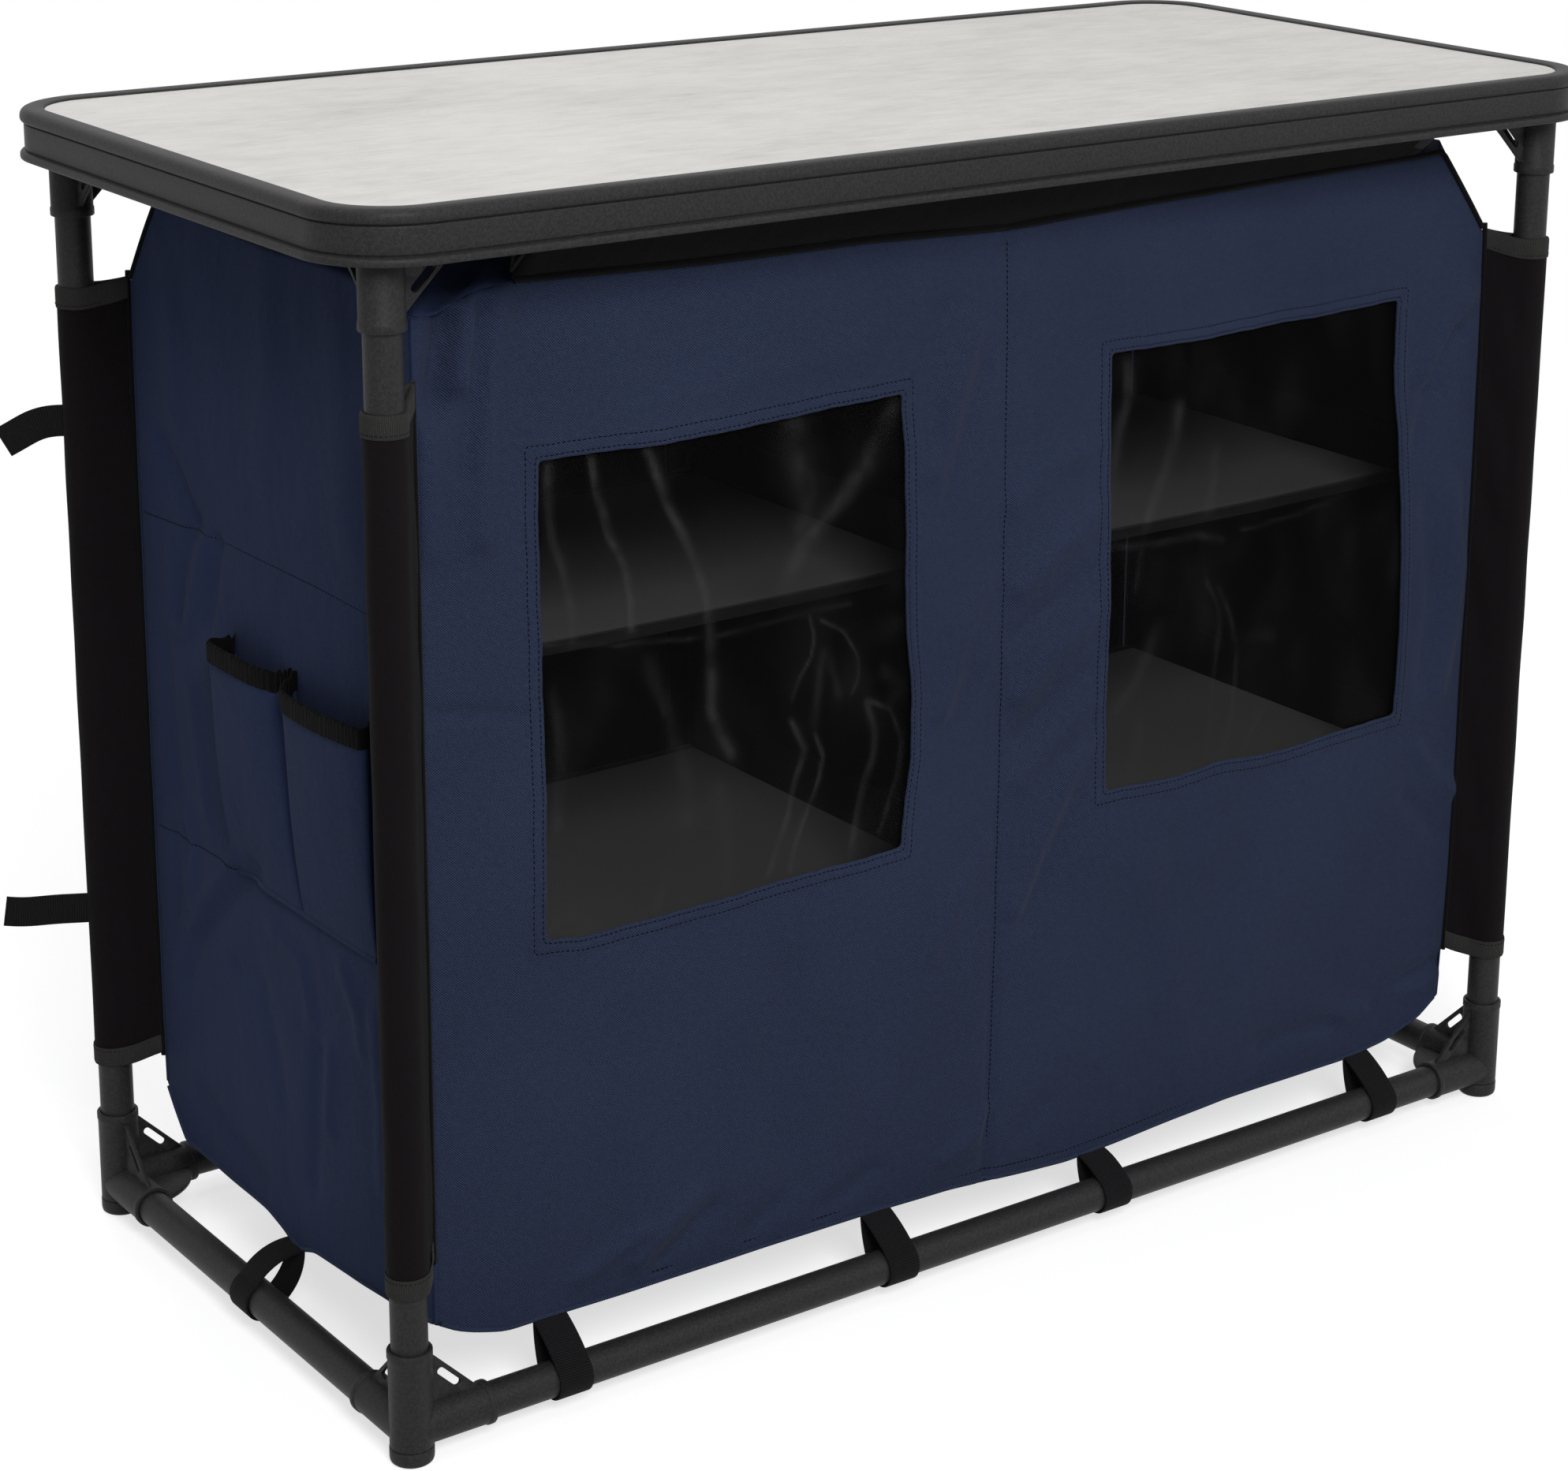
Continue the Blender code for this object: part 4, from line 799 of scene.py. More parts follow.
def front_relief(x, z):
    """How far the front stands out past its seams: a belly, one more over each window, its folds.

    A narrow dent runs down the middle, where the divider is sewn to it. The folds die out
    toward each window, whose stitched edge keeps the cloth flat."""
    over_window = np.clip(1 - np.abs((np.abs(x) - WINDOW_MIDDLE) / WINDOW_MIDDLE) ** 2.5, 0, 1)
    relief = MM * (4.5 + 4.0 * over_window) * swell(z)
    relief = relief - MM * (1.6 + 1.6 * np.clip((0.36 - z) / 0.2, 0, 1)) * np.exp(-(x / 0.005) ** 2)
    relief = relief + 0.35 * MM * np.sin(x * 61 + z * 17) * np.sin(z * 43 - x * 11 + 1.0)
    beside = np.maximum(np.abs(np.abs(x) - WINDOW_MIDDLE) - WINDOW_HALF, 0)
    off_window = np.hypot(beside, np.maximum(np.maximum(SILL - z, z - LINTEL), 0))
    loose = 1 - 0.9 * np.exp(-(off_window / (14 * MM)) ** 2)
    for path, height, width in FRONT_FOLDS:
        relief = relief + loose * ridge(x, z, path, height, width)
    return relief


# How far the cut edges sit from true, in mm: the upright edges outward to the right at heights,
# then the windows' lower and upper edges up at places across the front.
LEFT_OUTER = eased((
    (323, 2.4), (426, 2.9), (501, 1.9), (551, 0.7), (623, 1.3)))
LEFT_INNER = eased((
    (329, 6), (354, 9.6), (379, 13.1), (429, 12.9), (455, 10.4), (480, 8), (505, 6.9), (554, 6.2),
    (603, 5.2), (627, 2.5)))
RIGHT_INNER = eased((
    (332, 5), (383, 3.1), (434, 4), (508, 3.4), (558, 1), (582, 0.3), (630, 0.6)))
RIGHT_OUTER = eased((
    (331, 11), (356, 12.4), (408, 12.8), (459, 9.9), (485, 7.2), (510, 3.8), (536, 1.2), (561, -2.9),
    (586, -6), (634, -5.3)))
SILL_EDGES = eased((
    (-360, -2.1), (-340, -5.8), (-318, -6), (-230, -4.1), (-184, -2.4), (-88, -1.1), (110, 1.6),
    (150, -0.6), (171, 1.2), (191, 2.9), (213, 1), (234, -0.9), (256, -1.1), (277, 1.2), (300, 2.3),
    (368, 3.4)))
LINTEL_EDGES = eased((
    (-354, -8.7), (-334, -8.1), (-314, -9.1), (-292, -10.6), (-272, -11.1), (-250, -10.7), (-228, -9.3),
    (-184, -7.3), (-139, -5.9), (-92, -4.1), (99, -0.5), (178, -0.3), (219, 0.6), (239, 2), (282, 2.5),
    (347, 4.2)))


def cut_shift(x, z):
    """How far the cloth is drawn across and up out of true, so that each window has its real edges.

    An edge's own curve is shared out evenly to the next edges, and fades out at the panel's seams."""
    stops = (-HALF_X, -WINDOW_OUT, -WINDOW_IN, 0, WINDOW_IN, WINDOW_OUT, HALF_X)
    edges = (None, LEFT_OUTER, LEFT_INNER, None, RIGHT_INNER, RIGHT_OUTER, None)
    across = sum(np.interp(x, stops, np.eye(7)[number]) * edge(z)
                 for number, edge in enumerate(edges) if edge is not None)
    across = across * np.interp(z, (SILL - 0.06, SILL, LINTEL, LINTEL + 0.06), (0, 1, 1, 0))
    up = (np.interp(z, (FLOOR, SILL, LINTEL), (0, 1, 0)) * SILL_EDGES(x)
          + np.interp(z, (SILL, LINTEL, ROOF), (0, 1, 0)) * LINTEL_EDGES(x))
    return across, up * np.interp(np.abs(x), (WINDOW_OUT, HALF_X), (1, 0))


def front_point(x, z, proud=0.0):
    """A place on the windowed front, so far in front of its face."""
    x, z = np.broadcast_arrays(x, z)
    across, up = cut_shift(x, z)
    x, z = x + across, z + up
    wide = x * (1 + 1.5 * MM * swell(z) / HALF_X)
    return at(wide, -HALF_Y - front_relief(x, z) - proud, z)


def between(low, high, z, near_low, near_high):
    """Heights of a wall moved so that its two edges follow their seams. The part between stays."""
    upper = near_high + (z - near_high) * (high - near_high) / (ROOF - near_high)
    lower = near_low - (near_low - z) * (near_low - low) / (near_low - FLOOR)
    return np.where(z > near_high, upper, np.where(z < near_low, lower, z))


EDGE_KEEP = 3 * MM
across = spaced((-HALF_X, -WINDOW_OUT - EDGE_KEEP, -WINDOW_IN + EDGE_KEEP, -10 * MM, -5 * MM, -2 * MM, 0,
                 2 * MM, 5 * MM, 10 * MM, WINDOW_IN - EDGE_KEEP, WINDOW_OUT + EDGE_KEEP, HALF_X), CLOTH_STEP)
upward = spaced((FLOOR, SILL - EDGE_KEEP, LINTEL + EDGE_KEEP, ROOF), CLOTH_STEP)
flat_x, flat_z = crossed(across, upward)
hung_z = between(floor_height(flat_x, -HALF_Y), roof_height(flat_x, -HALF_Y), flat_z, SILL, LINTEL)
mid_x, mid_z = ((flat[1:, 1:] + flat[:-1, :-1]) / 2 for flat in (flat_x, flat_z))
in_window = ((np.abs(np.abs(mid_x) - WINDOW_MIDDLE) < WINDOW_HALF + EDGE_KEEP)
             & (mid_z > SILL - EDGE_KEEP) & (mid_z < LINTEL + EDGE_KEEP))
front = surface("windowed_front", front_point(flat_x, hung_z), FRONT_TWILL, at(flat_x, hung_z),
                keep=~in_window, flip=True, **LINED)
settle(front, "navy_twill", "window_panel")


# Window facings and front stitching.
# Each window's edge is turned back under the panel and held by two rows of stitches. A third
# row runs down the middle of the front.

def run_along(path):
    """How far along a path each of its places is: the sum of the steps before it."""
    return np.concatenate(((0,), np.cumsum(np.linalg.norm(np.diff(path, axis=0), axis=1))))


def read_off(spots, along, values):
    """Places or directions known at distances along a run, read off at spots between them."""
    return np.stack([np.interp(spots, along, values[:, part]) for part in range(3)], axis=-1)


def carried(name, path, outward, upward, section, material, closed=False):
    """A closed section carried along a path.

    Point = path + section's first value * outward + its second * upward, at each place of the
    path. An open path's ends are closed by drawing the section in to its middle."""
    section = np.asarray(section, float)
    section = np.vstack((section, section[:1]))
    points = (path + section[:, None, :1] * outward + section[:, None, 1:] * upward)
    along, round_it = run_along(path), run_along(section)
    if not closed:
        middle = points[:-1].mean(axis=0)
        ends = [np.repeat(middle[None, [end]], len(section), axis=0) for end in (0, -1)]
        points = np.concatenate((ends[0], points, ends[1]), axis=1)
        along = np.concatenate((along[:1], along, along[-1:]))
    return surface(name, points, material, at(along, round_it[:, None]), weld=True, crisp=60)


def ring(radius, sides=8, flat=1.0):
    """A round section of so many sides, its second axis flattened."""
    angle = np.arange(sides) * 2 * np.pi / sides
    return np.stack((radius * np.cos(angle), radius * flat * np.sin(angle)), axis=1)


def unit(vectors):
    """Directions of length 1: each vector over its own length."""
    return vectors / np.maximum(np.linalg.norm(vectors, axis=-1, keepdims=True), 1e-12)


def frames(path, outward):
    """Directions square to a path: outward, made square to it, and the third one."""
    heading = unit(np.gradient(path, axis=0))
    outward = unit(outward - np.sum(outward * heading, axis=-1, keepdims=True) * heading)
    return outward, np.cross(heading, outward)


def cord_along(name, path, outward, section, material, closed=False):
    """A cord, tape or binding of one section along a path, turned to face outward."""
    outward, side = frames(path, outward)
    return carried(name, path, outward, side, section, material, closed)


def stitches(path, outward, stitch=2.9 * MM, gap=0.8 * MM, thick=0.42 * MM):
    """A row of stitches as one grid for each: small capsules sunk a little at both ends.

    Along each, the thread's radius is thick * (1 - t^4) ^ 0.5 for t from -1 to 1."""
    along = run_along(path)
    starts = np.arange(gap, along[-1] - stitch, stitch + gap)
    share = np.array((-1, -0.8, -0.3, 0.3, 0.8, 1))
    spots = starts[:, None] + stitch * (share + 1) / 2
    middle = read_off(spots, along, path)
    out, side = (unit(read_off(spots, along, ways)) for ways in frames(path, outward))
    size = thick * np.sqrt(1 - share ** 4)
    middle = middle - out * (0.9 * thick * share ** 2)[:, None]
    angle = np.linspace(0, 2 * np.pi, 7)
    return (middle[:, :, None] + size[:, None, None] * (np.cos(angle)[:, None] * out[:, :, None]
                                                        + np.sin(angle)[:, None] * side[:, :, None]))


def stitched(name, rows, material):
    """Rows of stitches as one mesh."""
    grids = np.concatenate(rows)
    count, rings, sides = grids.shape[:3]
    index = np.arange(count * rings * sides).reshape(count, rings, sides)
    quads = np.stack((index[:, :-1, :-1], index[:, 1:, :-1], index[:, 1:, 1:], index[:, :-1, 1:]), axis=-1)
    mesh = bpy.data.meshes.new(name)
    mesh.from_pydata(grids.reshape(-1, 3), [], quads.reshape(-1, 4))
    shape = bmesh.new()
    shape.from_mesh(mesh)
    bmesh.ops.remove_doubles(shape, verts=shape.verts, dist=0.00001)
    bmesh.ops.recalc_face_normals(shape, faces=shape.faces)
    shape.to_mesh(mesh)
    shape.free()
    mesh.shade_smooth()
    mesh.materials.append(material)
    return placed(name, mesh)


FACING_OUT = np.array((0.0, -1.0, 0.0))
# Each row is a distance out from the window's edge and a height over the panel, in mm.
facing_section = MM * np.array((
    (2.0, -1.9), (0.2, -1.7), (-0.5, -0.9), (-0.55, 0.0), (-0.1, 0.55), (1.2, 0.72), (2.1, 0.38),
    (3.0, 0.66), (5.5, 0.74), (7.4, 0.62), (8.4, 0.22), (9.3, 0.42), (10.8, 0.22), (12.4, -0.25)))
HANDS = (("left", -1), ("right", 1))
# A row of stitches is followed at this step, with its thread this far over the cloth.
ROW_STEP, THREAD_LIFT = 0.004, 0.15 * MM
loop, ways = rounded_loop(WINDOW_HALF, (LINTEL - SILL) / 2, 3.5 * MM, 1.5 * MM, 8)
ways = np.sign(np.round(ways, 6))
turn_by = np.linspace(0, 2 * np.pi, len(loop))
pucker = MM * 0.10 * np.sin(turn_by * 190)
front_rows, facings = [], []
for hand, side in HANDS:
    centre = (side * WINDOW_MIDDLE, (SILL + LINTEL) / 2)
    waver = MM * (0.30 * np.sin(9 * turn_by + side) + 0.22 * np.sin(23 * turn_by)
                  + 0.12 * np.sin(61 * turn_by))
    edge = loop + waver[:, None] * ways

    def on_front(away, proud):
        """Places so far out from the window's edge and over the panel's face."""
        spot = edge + away[..., None] * ways + centre
        return front_point(spot[..., 0], spot[..., 1], proud)

    grid = on_front(facing_section[:, :1] + 0 * turn_by, facing_section[:, 1:] + pucker)
    flat = edge + facing_section[:, :1, None] * ways + centre
    facing = surface(f"window_facing_{hand}", grid, FRONT_TWILL, flat, weld=True)
    facings.append(settle(facing, "navy_twill", "window_panel"))
    for away, proud in ((2.1 * MM, 0.52 * MM), (8.4 * MM, 0.36 * MM)):
        front_rows.append(stitches(on_front(np.full(len(edge), away), proud), FACING_OUT))
middle_row = front_point(2 * MM, np.arange(0.080, 0.727, ROW_STEP), THREAD_LIFT)
front_rows.append(stitches(middle_row, FACING_OUT))
settle(stitched("front_stitching", front_rows, SEAM_THREAD_PAINTED_SHADE), "navy_twill", "window_panel")


# Window films.
# Clear film sewn behind each window. It is slightly wrinkled, and a pale highlight streak is painted along
# every wrinkle into the film's colour and see-through.

def clear_film():
    """Clear film: nearly see-through; along its wrinkles a painted highlight makes it milky grey and less
    see-through, in uneven patches, with a soft haze over it.
    """
    film = Finish("clear_film", Roughness=0.3, Specular_IOR_Level=0.15)
    place = film.object_place()
    shine = film.node("ShaderNodeAttribute", {"attribute_name": "shine"}, out="Fac")
    patchy = film.noise(place, 55.0, 3.0, 0.6).ramp(0.30, 0.72)
    haze = film.noise(film.stretched(place, (1.0, 1.0, 0.6)), 16.0, 3.0, 0.6).ramp(0.42, 0.75) * 0.22
    # The wrinkles' painted highlight in patches, and the haze: paler and less see-through where it is high.
    share = shine * (0.35 + 0.65 * patchy) + haze
    film.paint(film.blend(share, (0.015, 0.015, 0.015, 1.0), (0.068, 0.066, 0.068, 1.0)))
    film.feed(film.shader.inputs["Alpha"], share * 0.24 + 0.09)
    return film.material


# Each wrinkle: its path in mm across and up the front, how brightly its painted highlight shines (which also
# sets how far it presses the film back) and its half width.
FILM_WRINKLES = (
    (((-353, 625), (-353, 600), (-350, 575), (-341, 548), (-337, 527), (-338, 510)), 0.7, 3.6),
    (((-322, 625), (-318, 600), (-310, 574), (-299, 552), (-295, 530), (-295, 512)), 0.9, 3.0),
    (((-282, 624), (-275, 608), (-267, 587), (-256, 565), (-246, 543), (-239, 521), (-236, 499)), 1.0, 3.6),
    (((-236, 499), (-235, 468), (-236, 447), (-229, 429), (-220, 414)), 0.7, 4.4), (((-282, 487),
    (-277, 470), (-269, 451), (-262, 428)), 0.4, 5.4), (((-88, 630), (-101, 611), (-114, 589), (-130, 574),
    (-146, 563), (-158, 549), (-171, 533), (-177, 518)), 0.75, 7.2), (((-171, 624), (-167, 603),
    (-161, 581), (-159, 565), (-167, 556)), 0.45, 10.2), (((-359, 512), (-308, 503), (-262, 498),
    (-232, 495), (-204, 495), (-177, 498), (-158, 499), (-126, 499)), 0.5, 1.2), (((-159, 496), (-155, 480),
    (-158, 467), (-167, 455), (-173, 440)), 0.7, 1.2), (((-151, 492), (-132, 481), (-120, 462), (-119, 446),
    (-125, 436)), 0.7, 1.2), (((-148, 468), (-151, 447), (-154, 423)), 0.4, 3.6), (((-142, 461),
    (-135, 438)), 0.4, 3.0), (((-173, 427), (-162, 405), (-170, 385), (-176, 359), (-185, 339),
    (-190, 324)), 0.7, 2.4), (((-154, 415), (-147, 397), (-151, 381), (-160, 361), (-169, 341),
    (-174, 320)), 0.7, 1.8), (((-112, 428), (-105, 405), (-106, 389), (-115, 368), (-121, 342),
    (-125, 320)), 0.6, 3.0), (((-109, 428), (-92, 419), (-82, 395), (-85, 373), (-95, 347),
    (-101, 332)), 0.6, 1.8), (((-103, 473), (-80, 477)), 0.2, 8.4), (((-99, 448), (-83, 433),
    (-92, 424)), 0.35, 4.2), (((-351, 479), (-347, 442), (-349, 417), (-349, 391)), 0.4, 4.2),
    (((-261, 425), (-256, 403), (-255, 376)), 0.35, 7.2), (((-229, 392), (-224, 364),
    (-223, 326)), 0.3, 4.8), (((-274, 332), (-279, 317)), 0.35, 4.2), (((106, 626), (108, 606), (100, 585),
    (95, 564), (93, 542)), 0.55, 5.4), (((153, 592), (150, 573), (143, 551), (135, 533),
    (129, 517)), 0.8, 5.4), (((129, 517), (123, 498), (118, 465)), 0.4, 1.8), (((188, 556), (187, 534),
    (183, 514)), 0.6, 4.8), (((92, 500), (138, 496), (174, 496), (197, 489)), 0.4, 2.4), (((215, 493),
    (264, 496), (311, 503)), 0.4, 1.2), (((184, 460), (196, 440), (197, 422), (194, 393), (192, 364),
    (191, 335)), 0.4, 1.8), (((195, 455), (207, 432), (214, 407), (214, 378), (212, 349),
    (201, 324)), 0.4, 1.8), (((245, 357), (235, 344), (224, 328)), 0.3, 3.0), (((137, 433), (131, 417),
    (121, 395), (104, 381)), 0.35, 5.4), (((126, 365), (123, 342), (122, 322)), 0.3, 5.4), (((232, 411),
    (245, 409)), 0.3, 5.4), (((360, 489), (344, 477)), 0.15, 4.8))

CLEAR_FILM = clear_film()
FILM_MARGIN = 11 * MM
for hand, side in HANDS:
    film_x = np.arange(WINDOW_IN - FILM_MARGIN, WINDOW_OUT + FILM_MARGIN + 1e-6, 2 * MM) * side
    film_z = np.arange(SILL - FILM_MARGIN, LINTEL + FILM_MARGIN + 1e-6, 2.5 * MM)
    flat_x, flat_z = crossed(film_x, film_z)
    drawn_x, drawn_z = cut_shift(flat_x, flat_z)
    # How brightly the painted highlight of the nearest wrinkle shines at each place; the film is also
    # pressed back along it.
    shine = np.max([ridge(flat_x + drawn_x, flat_z + drawn_z, *wrinkle) / MM
                    for wrinkle in FILM_WRINKLES], axis=0)
    ripple = (0.4 * MM * np.sin(flat_x * 130 + flat_z * 14)
              * np.clip((flat_z - SILL) / (LINTEL - SILL), 0, 1))
    grid = front_point(flat_x, flat_z, -2.4 * MM + ripple - 1.2 * MM * shine)
    film = surface(f"window_film_{hand}_sheet", grid, CLEAR_FILM, at(flat_x, flat_z),
                   flip=side > 0, wall=0.4 * MM)
    shown = film.data.attributes.new("shine", "FLOAT", "POINT")
    shown.data.foreach_set("value", shine.ravel().astype(np.float32))
    settle(film, "clear_film", f"window_film_{hand}")


# Side walls.
# Navy twill of a finer weave. Two rows of stitches across each wall hold the shelves' side
# flaps inside, and the cloth is drawn in a little along them.

LEFT_FOLDS = (
    (((149, 580), (125, 558), (103, 536)), -6.4, 10.8), (((111, 523), (126, 492), (134, 463)), -4.8, 6.3),
    (((139, 511), (146, 482)), 3.6, 6.3), (((89, 518), (106, 481), (118, 456)), 4.4, 7.2),
    (((69, 528), (76, 499), (86, 470)), -4.0, 7.2), (((157, 434), (153, 390), (146, 335)), -4.4, 10.8),
    (((117, 411), (109, 369), (98, 327)), 3.2, 9), (((134, 327), (123, 296), (136, 257)), 3.6, 6.3),
    (((154, 298), (153, 258), (164, 225)), -4.4, 7.2),
    (((21, 317), (70, 279), (121, 233), (147, 189)), -4.8, 9),
    (((55, 315), (104, 268), (133, 235)), 3.6, 7.2), (((7, 277), (-31, 268), (-42, 233)), 3.0, 8.1),
    (((62, 230), (27, 231), (13, 190), (3, 154)), -2.8, 9),
    (((-86, 282), (-105, 256), (-109, 235)), 3.0, 7.2), (((-49, 213), (-41, 160), (-34, 111)), -3.2, 9),
    (((-66, 214), (-59, 161)), 2.8, 7.2), (((-126, 258), (-131, 206), (-130, 150)), 3.2, 9),
    (((132, 117), (85, 93), (39, 82)), -2.4, 9), (((-11, 731), (-11, 665), (0, 591)), 2.4, 19.8),
    (((-102, 702), (-102, 634), (-104, 574)), 2.6, 18), (((128, 670), (127, 606)), 2.8, 14.4))


def side_relief(y, z):
    """How far a side wall stands out: a little all over, more between the rows of stitches."""
    pulled = sum(np.exp(-np.abs(z - line) / 0.012) for line in (305 * MM, 530 * MM))
    held_at_edges = np.clip(1 - np.abs(y / HALF_Y) ** 4, 0, 1)
    relief = MM * 1.5 * swell(z) + MM * held_at_edges * (3.0 * swell(z) - 1.6 * pulled)
    relief = relief + 0.3 * MM * np.sin(y * 73 + z * 19) * np.sin(z * 47 - y * 13)
    for path, height, width in LEFT_FOLDS:
        relief = relief + held_at_edges * ridge(y, z, path, height, width)
    return relief


def side_point(side, y, z, proud=0.0):
    """A place on a side wall (-1 left, 1 right), so far outside its face."""
    y, z = np.broadcast_arrays(y, z)
    forward = np.where(y < 0, 4.5 * MM * swell(z) * (-y / HALF_Y), 0)
    return at(side * (HALF_X + side_relief(y, z) + proud), y - forward, z)


STITCH_LINES = (eased(((-190, 302), (-120, 304), (0, 305), (120, 302), (190, 297))),
                eased(((-190, 530), (-60, 532), (60, 531), (190, 523))))
# Between these heights, in metres, the walls' cloth doesn't follow the roof's and floor's edges.
STILL_LOW, STILL_HIGH = 0.25, 0.6
side_rows = []
for hand, side in HANDS:
    flat_y, flat_z = crossed(spaced((-HALF_Y, HALF_Y), CLOTH_STEP),
                             spaced((FLOOR, STILL_LOW, STILL_HIGH, ROOF), CLOTH_STEP))
    low, high = (height(side * HALF_X, flat_y) for height in (floor_height, roof_height))
    hung_z = between(low, high, flat_z, STILL_LOW, STILL_HIGH)
    wall = surface(f"side_wall_{hand}", side_point(side, flat_y, hung_z), SIDE_TWILL,
                   at(side * flat_y, hung_z), flip=side > 0, **LINED)
    settle(wall, "navy_twill", f"side_panel_{hand}")
    for height in STITCH_LINES:
        row_y = np.arange(-0.184, 0.1845, ROW_STEP)
        side_rows.append(stitches(side_point(side, row_y, height(row_y), THREAD_LIFT), (side, 0.0, 0.0)))
settle(stitched("side_stitching", side_rows, SEAM_THREAD_PAINTED_SHADE), "navy_twill", "side_panel_left",
       "side_panel_right")


# Roof and floor.
# Navy twill panels sewn to the walls. Each carries a strip at the rear that the doors close
# against, and slants down or up to every taut corner.

def slack_corner(x, y):
    """Folds of the roof where its slack front left corner hangs: none at the seams themselves."""
    folds = ((((-440, -186), (-404, -150)), 6.0, 6.0), (((-424, -188), (-388, -166)), -4.5, 6.0),
             (((-404, -189), (-366, -170)), 4.5, 6.0), (((-441, -166), (-424, -118)), -4.0, 8.0),
             (((-384, -189), (-350, -178)), -3.0, 5.0))
    inside = np.clip((np.minimum(HALF_X + x, HALF_Y + y)) / (7 * MM), 0, 1)
    return inside * sum(ridge(x, y, *fold) for fold in folds)


def level_panel(name, node, height, way):
    """The roof (way 1) or the floor (way -1) as a grid over the cabinet's plan."""
    flat_x, flat_y = crossed(spaced((-HALF_X, -0.4, 0, 0.4, HALF_X), CLOTH_STEP),
                             spaced((-HALF_Y, -0.145, 0.145, HALF_Y), CLOTH_STEP))
    panel = surface(name, at(flat_x, flat_y, height(flat_x, flat_y)), SIDE_TWILL, at(flat_x, flat_y),
                    flip=way > 0, **LINED)
    settle(panel, "navy_twill", node)


level_panel("roof", "top_panel", lambda x, y: roof_height(x, y) + slack_corner(x, y), 1)
level_panel("floor", "floor_panel", floor_height, -1)


# Rear strips.
# The roof's strip and the floor's strip at the rear, each turned back and stitched at its edge.

rear_rows = []
REAR_OUT = np.array((0.0, 1.0, 0.0))


def rear_strip(name, node, reach, low, high):
    """An upright strip across the rear between two heights, as a grid."""
    x, share = crossed(spaced((-reach, 0, reach), COARSE_STEP), np.linspace(0, 1, 5))
    bottom, top = low(x), high(x)
    z = bottom + share * (top - bottom)
    strip = surface(name, at(x, HALF_Y, z), SIDE_TWILL, at(-x, z), **LINED)
    settle(strip, "navy_twill", node)
    float((top - bottom).mean())


HEADER_EDGE, SILL_EDGE = 714.8 * MM, 80.2 * MM
rear_strip("roof_rear_strip", "top_panel", 419 * MM, lambda x: HEADER_EDGE + 0 * x,
           lambda x: roof_height(x, HALF_Y))
rear_strip("floor_rear_strip", "floor_panel", 430 * MM, lambda x: floor_height(x, HALF_Y),
           lambda x: SILL_EDGE + 0 * x)
for height, reach in ((HEADER_EDGE + 3 * MM, 0.412), (SILL_EDGE - 3 * MM, 0.424)):
    rear_rows.append(stitches(at(np.arange(-reach, reach, 0.01), HALF_Y + 0.1 * MM, height), REAR_OUT))
settle(stitched("rear_strip_stitching", rear_rows, SEAM_THREAD_PAINTED_SHADE), "navy_twill", "top_panel",
       "floor_panel")


# Seams, hems and piping of the cabinet.
# The lower edge is turned up into a soft roll. Black piped cord is sewn into the top seam of the
# front, from the flap's left end over to the cut corner at the right, and into the cut corners.

def front_edge_path(x, height, proud, lift):
    """Places along the front's top or bottom seam."""
    return front_point(x, height(x, -HALF_Y), proud) + (0, 0, lift)


def side_edge_path(side, y, height, proud, lift):
    """Places along a side wall's top or bottom seam."""
    return side_point(side, y, height(side * HALF_X, y), proud) + (0, 0, lift)


hem_x = spaced((-0.440, 0.440), 5 * MM)
hem_y = spaced((-0.187, 0.187), 5 * MM)
roll = ring(2.3 * MM, 10, 0.75)
hems = [cord_along("hem", front_edge_path(hem_x, floor_height, -0.3 * MM, 1.6 * MM),
                   FACING_OUT, roll, FRONT_TWILL)]
for side in (-1, 1):
    hems.append(cord_along("hem", side_edge_path(side, hem_y, floor_height, -0.3 * MM, 1.6 * MM),
                           (side, 0.0, 0.0), roll, FRONT_TWILL))
settle(joined("lower_hems", hems), "navy_twill", "window_panel", "side_panel_left",
       "side_panel_right")
line = front_edge_path(hem_x, floor_height, THREAD_LIFT, 9 * MM)
settle(stitched("lower_hem_stitching", [stitches(line, FACING_OUT)], SEAM_THREAD_PAINTED_SHADE), "navy_twill",
       "window_panel")

piping_x = spaced((-0.3745, 0.399, 0.4420), 4 * MM)
piping = [cord_along("piping", front_edge_path(piping_x, roof_height, 1.0 * MM, 0.9 * MM), FACING_OUT,
                     ring(1.9 * MM, 12), PIPING_BLACK)]
rear_y = spaced((0.10, 0.144, 0.1895), 4 * MM)
for side in (-1, 1):
    piping.append(cord_along("piping", side_edge_path(side, rear_y, roof_height, 0.6 * MM, 0.6 * MM),
                             (side, 0.0, 0.0), ring(1.6 * MM, 12), PIPING_BLACK))
settle(joined("roof_piping", piping), "black_fabric", "top_panel")

seam_cords = []
for side in (-1, 1):
    for y, way in ((-HALF_Y, -1), (HALF_Y, 1)):
        low, high = (height(side * HALF_X, y) for height in (floor_height, roof_height))
        z = np.linspace(low + 1 * MM, high - 1 * MM, 140)
        path = side_point(side, 0 * z + y, z, -0.4 * MM)
        if way < 0:
            path[:, 1] = front_point(side * HALF_X, z, -0.4 * MM)[:, 1]
        seam_cords.append(cord_along("seam", path, (side, way, 0.0),
                                     ring(1.1 * MM, 8), SIDE_TWILL))
settle(joined("corner_seams", seam_cords), "navy_twill", "side_panel_left", "side_panel_right")


# Divider and centre post.
# A black coated panel hangs from roof to floor down the middle, sewn to the front. At the rear it
# carries an upright strip that both doors zip to.

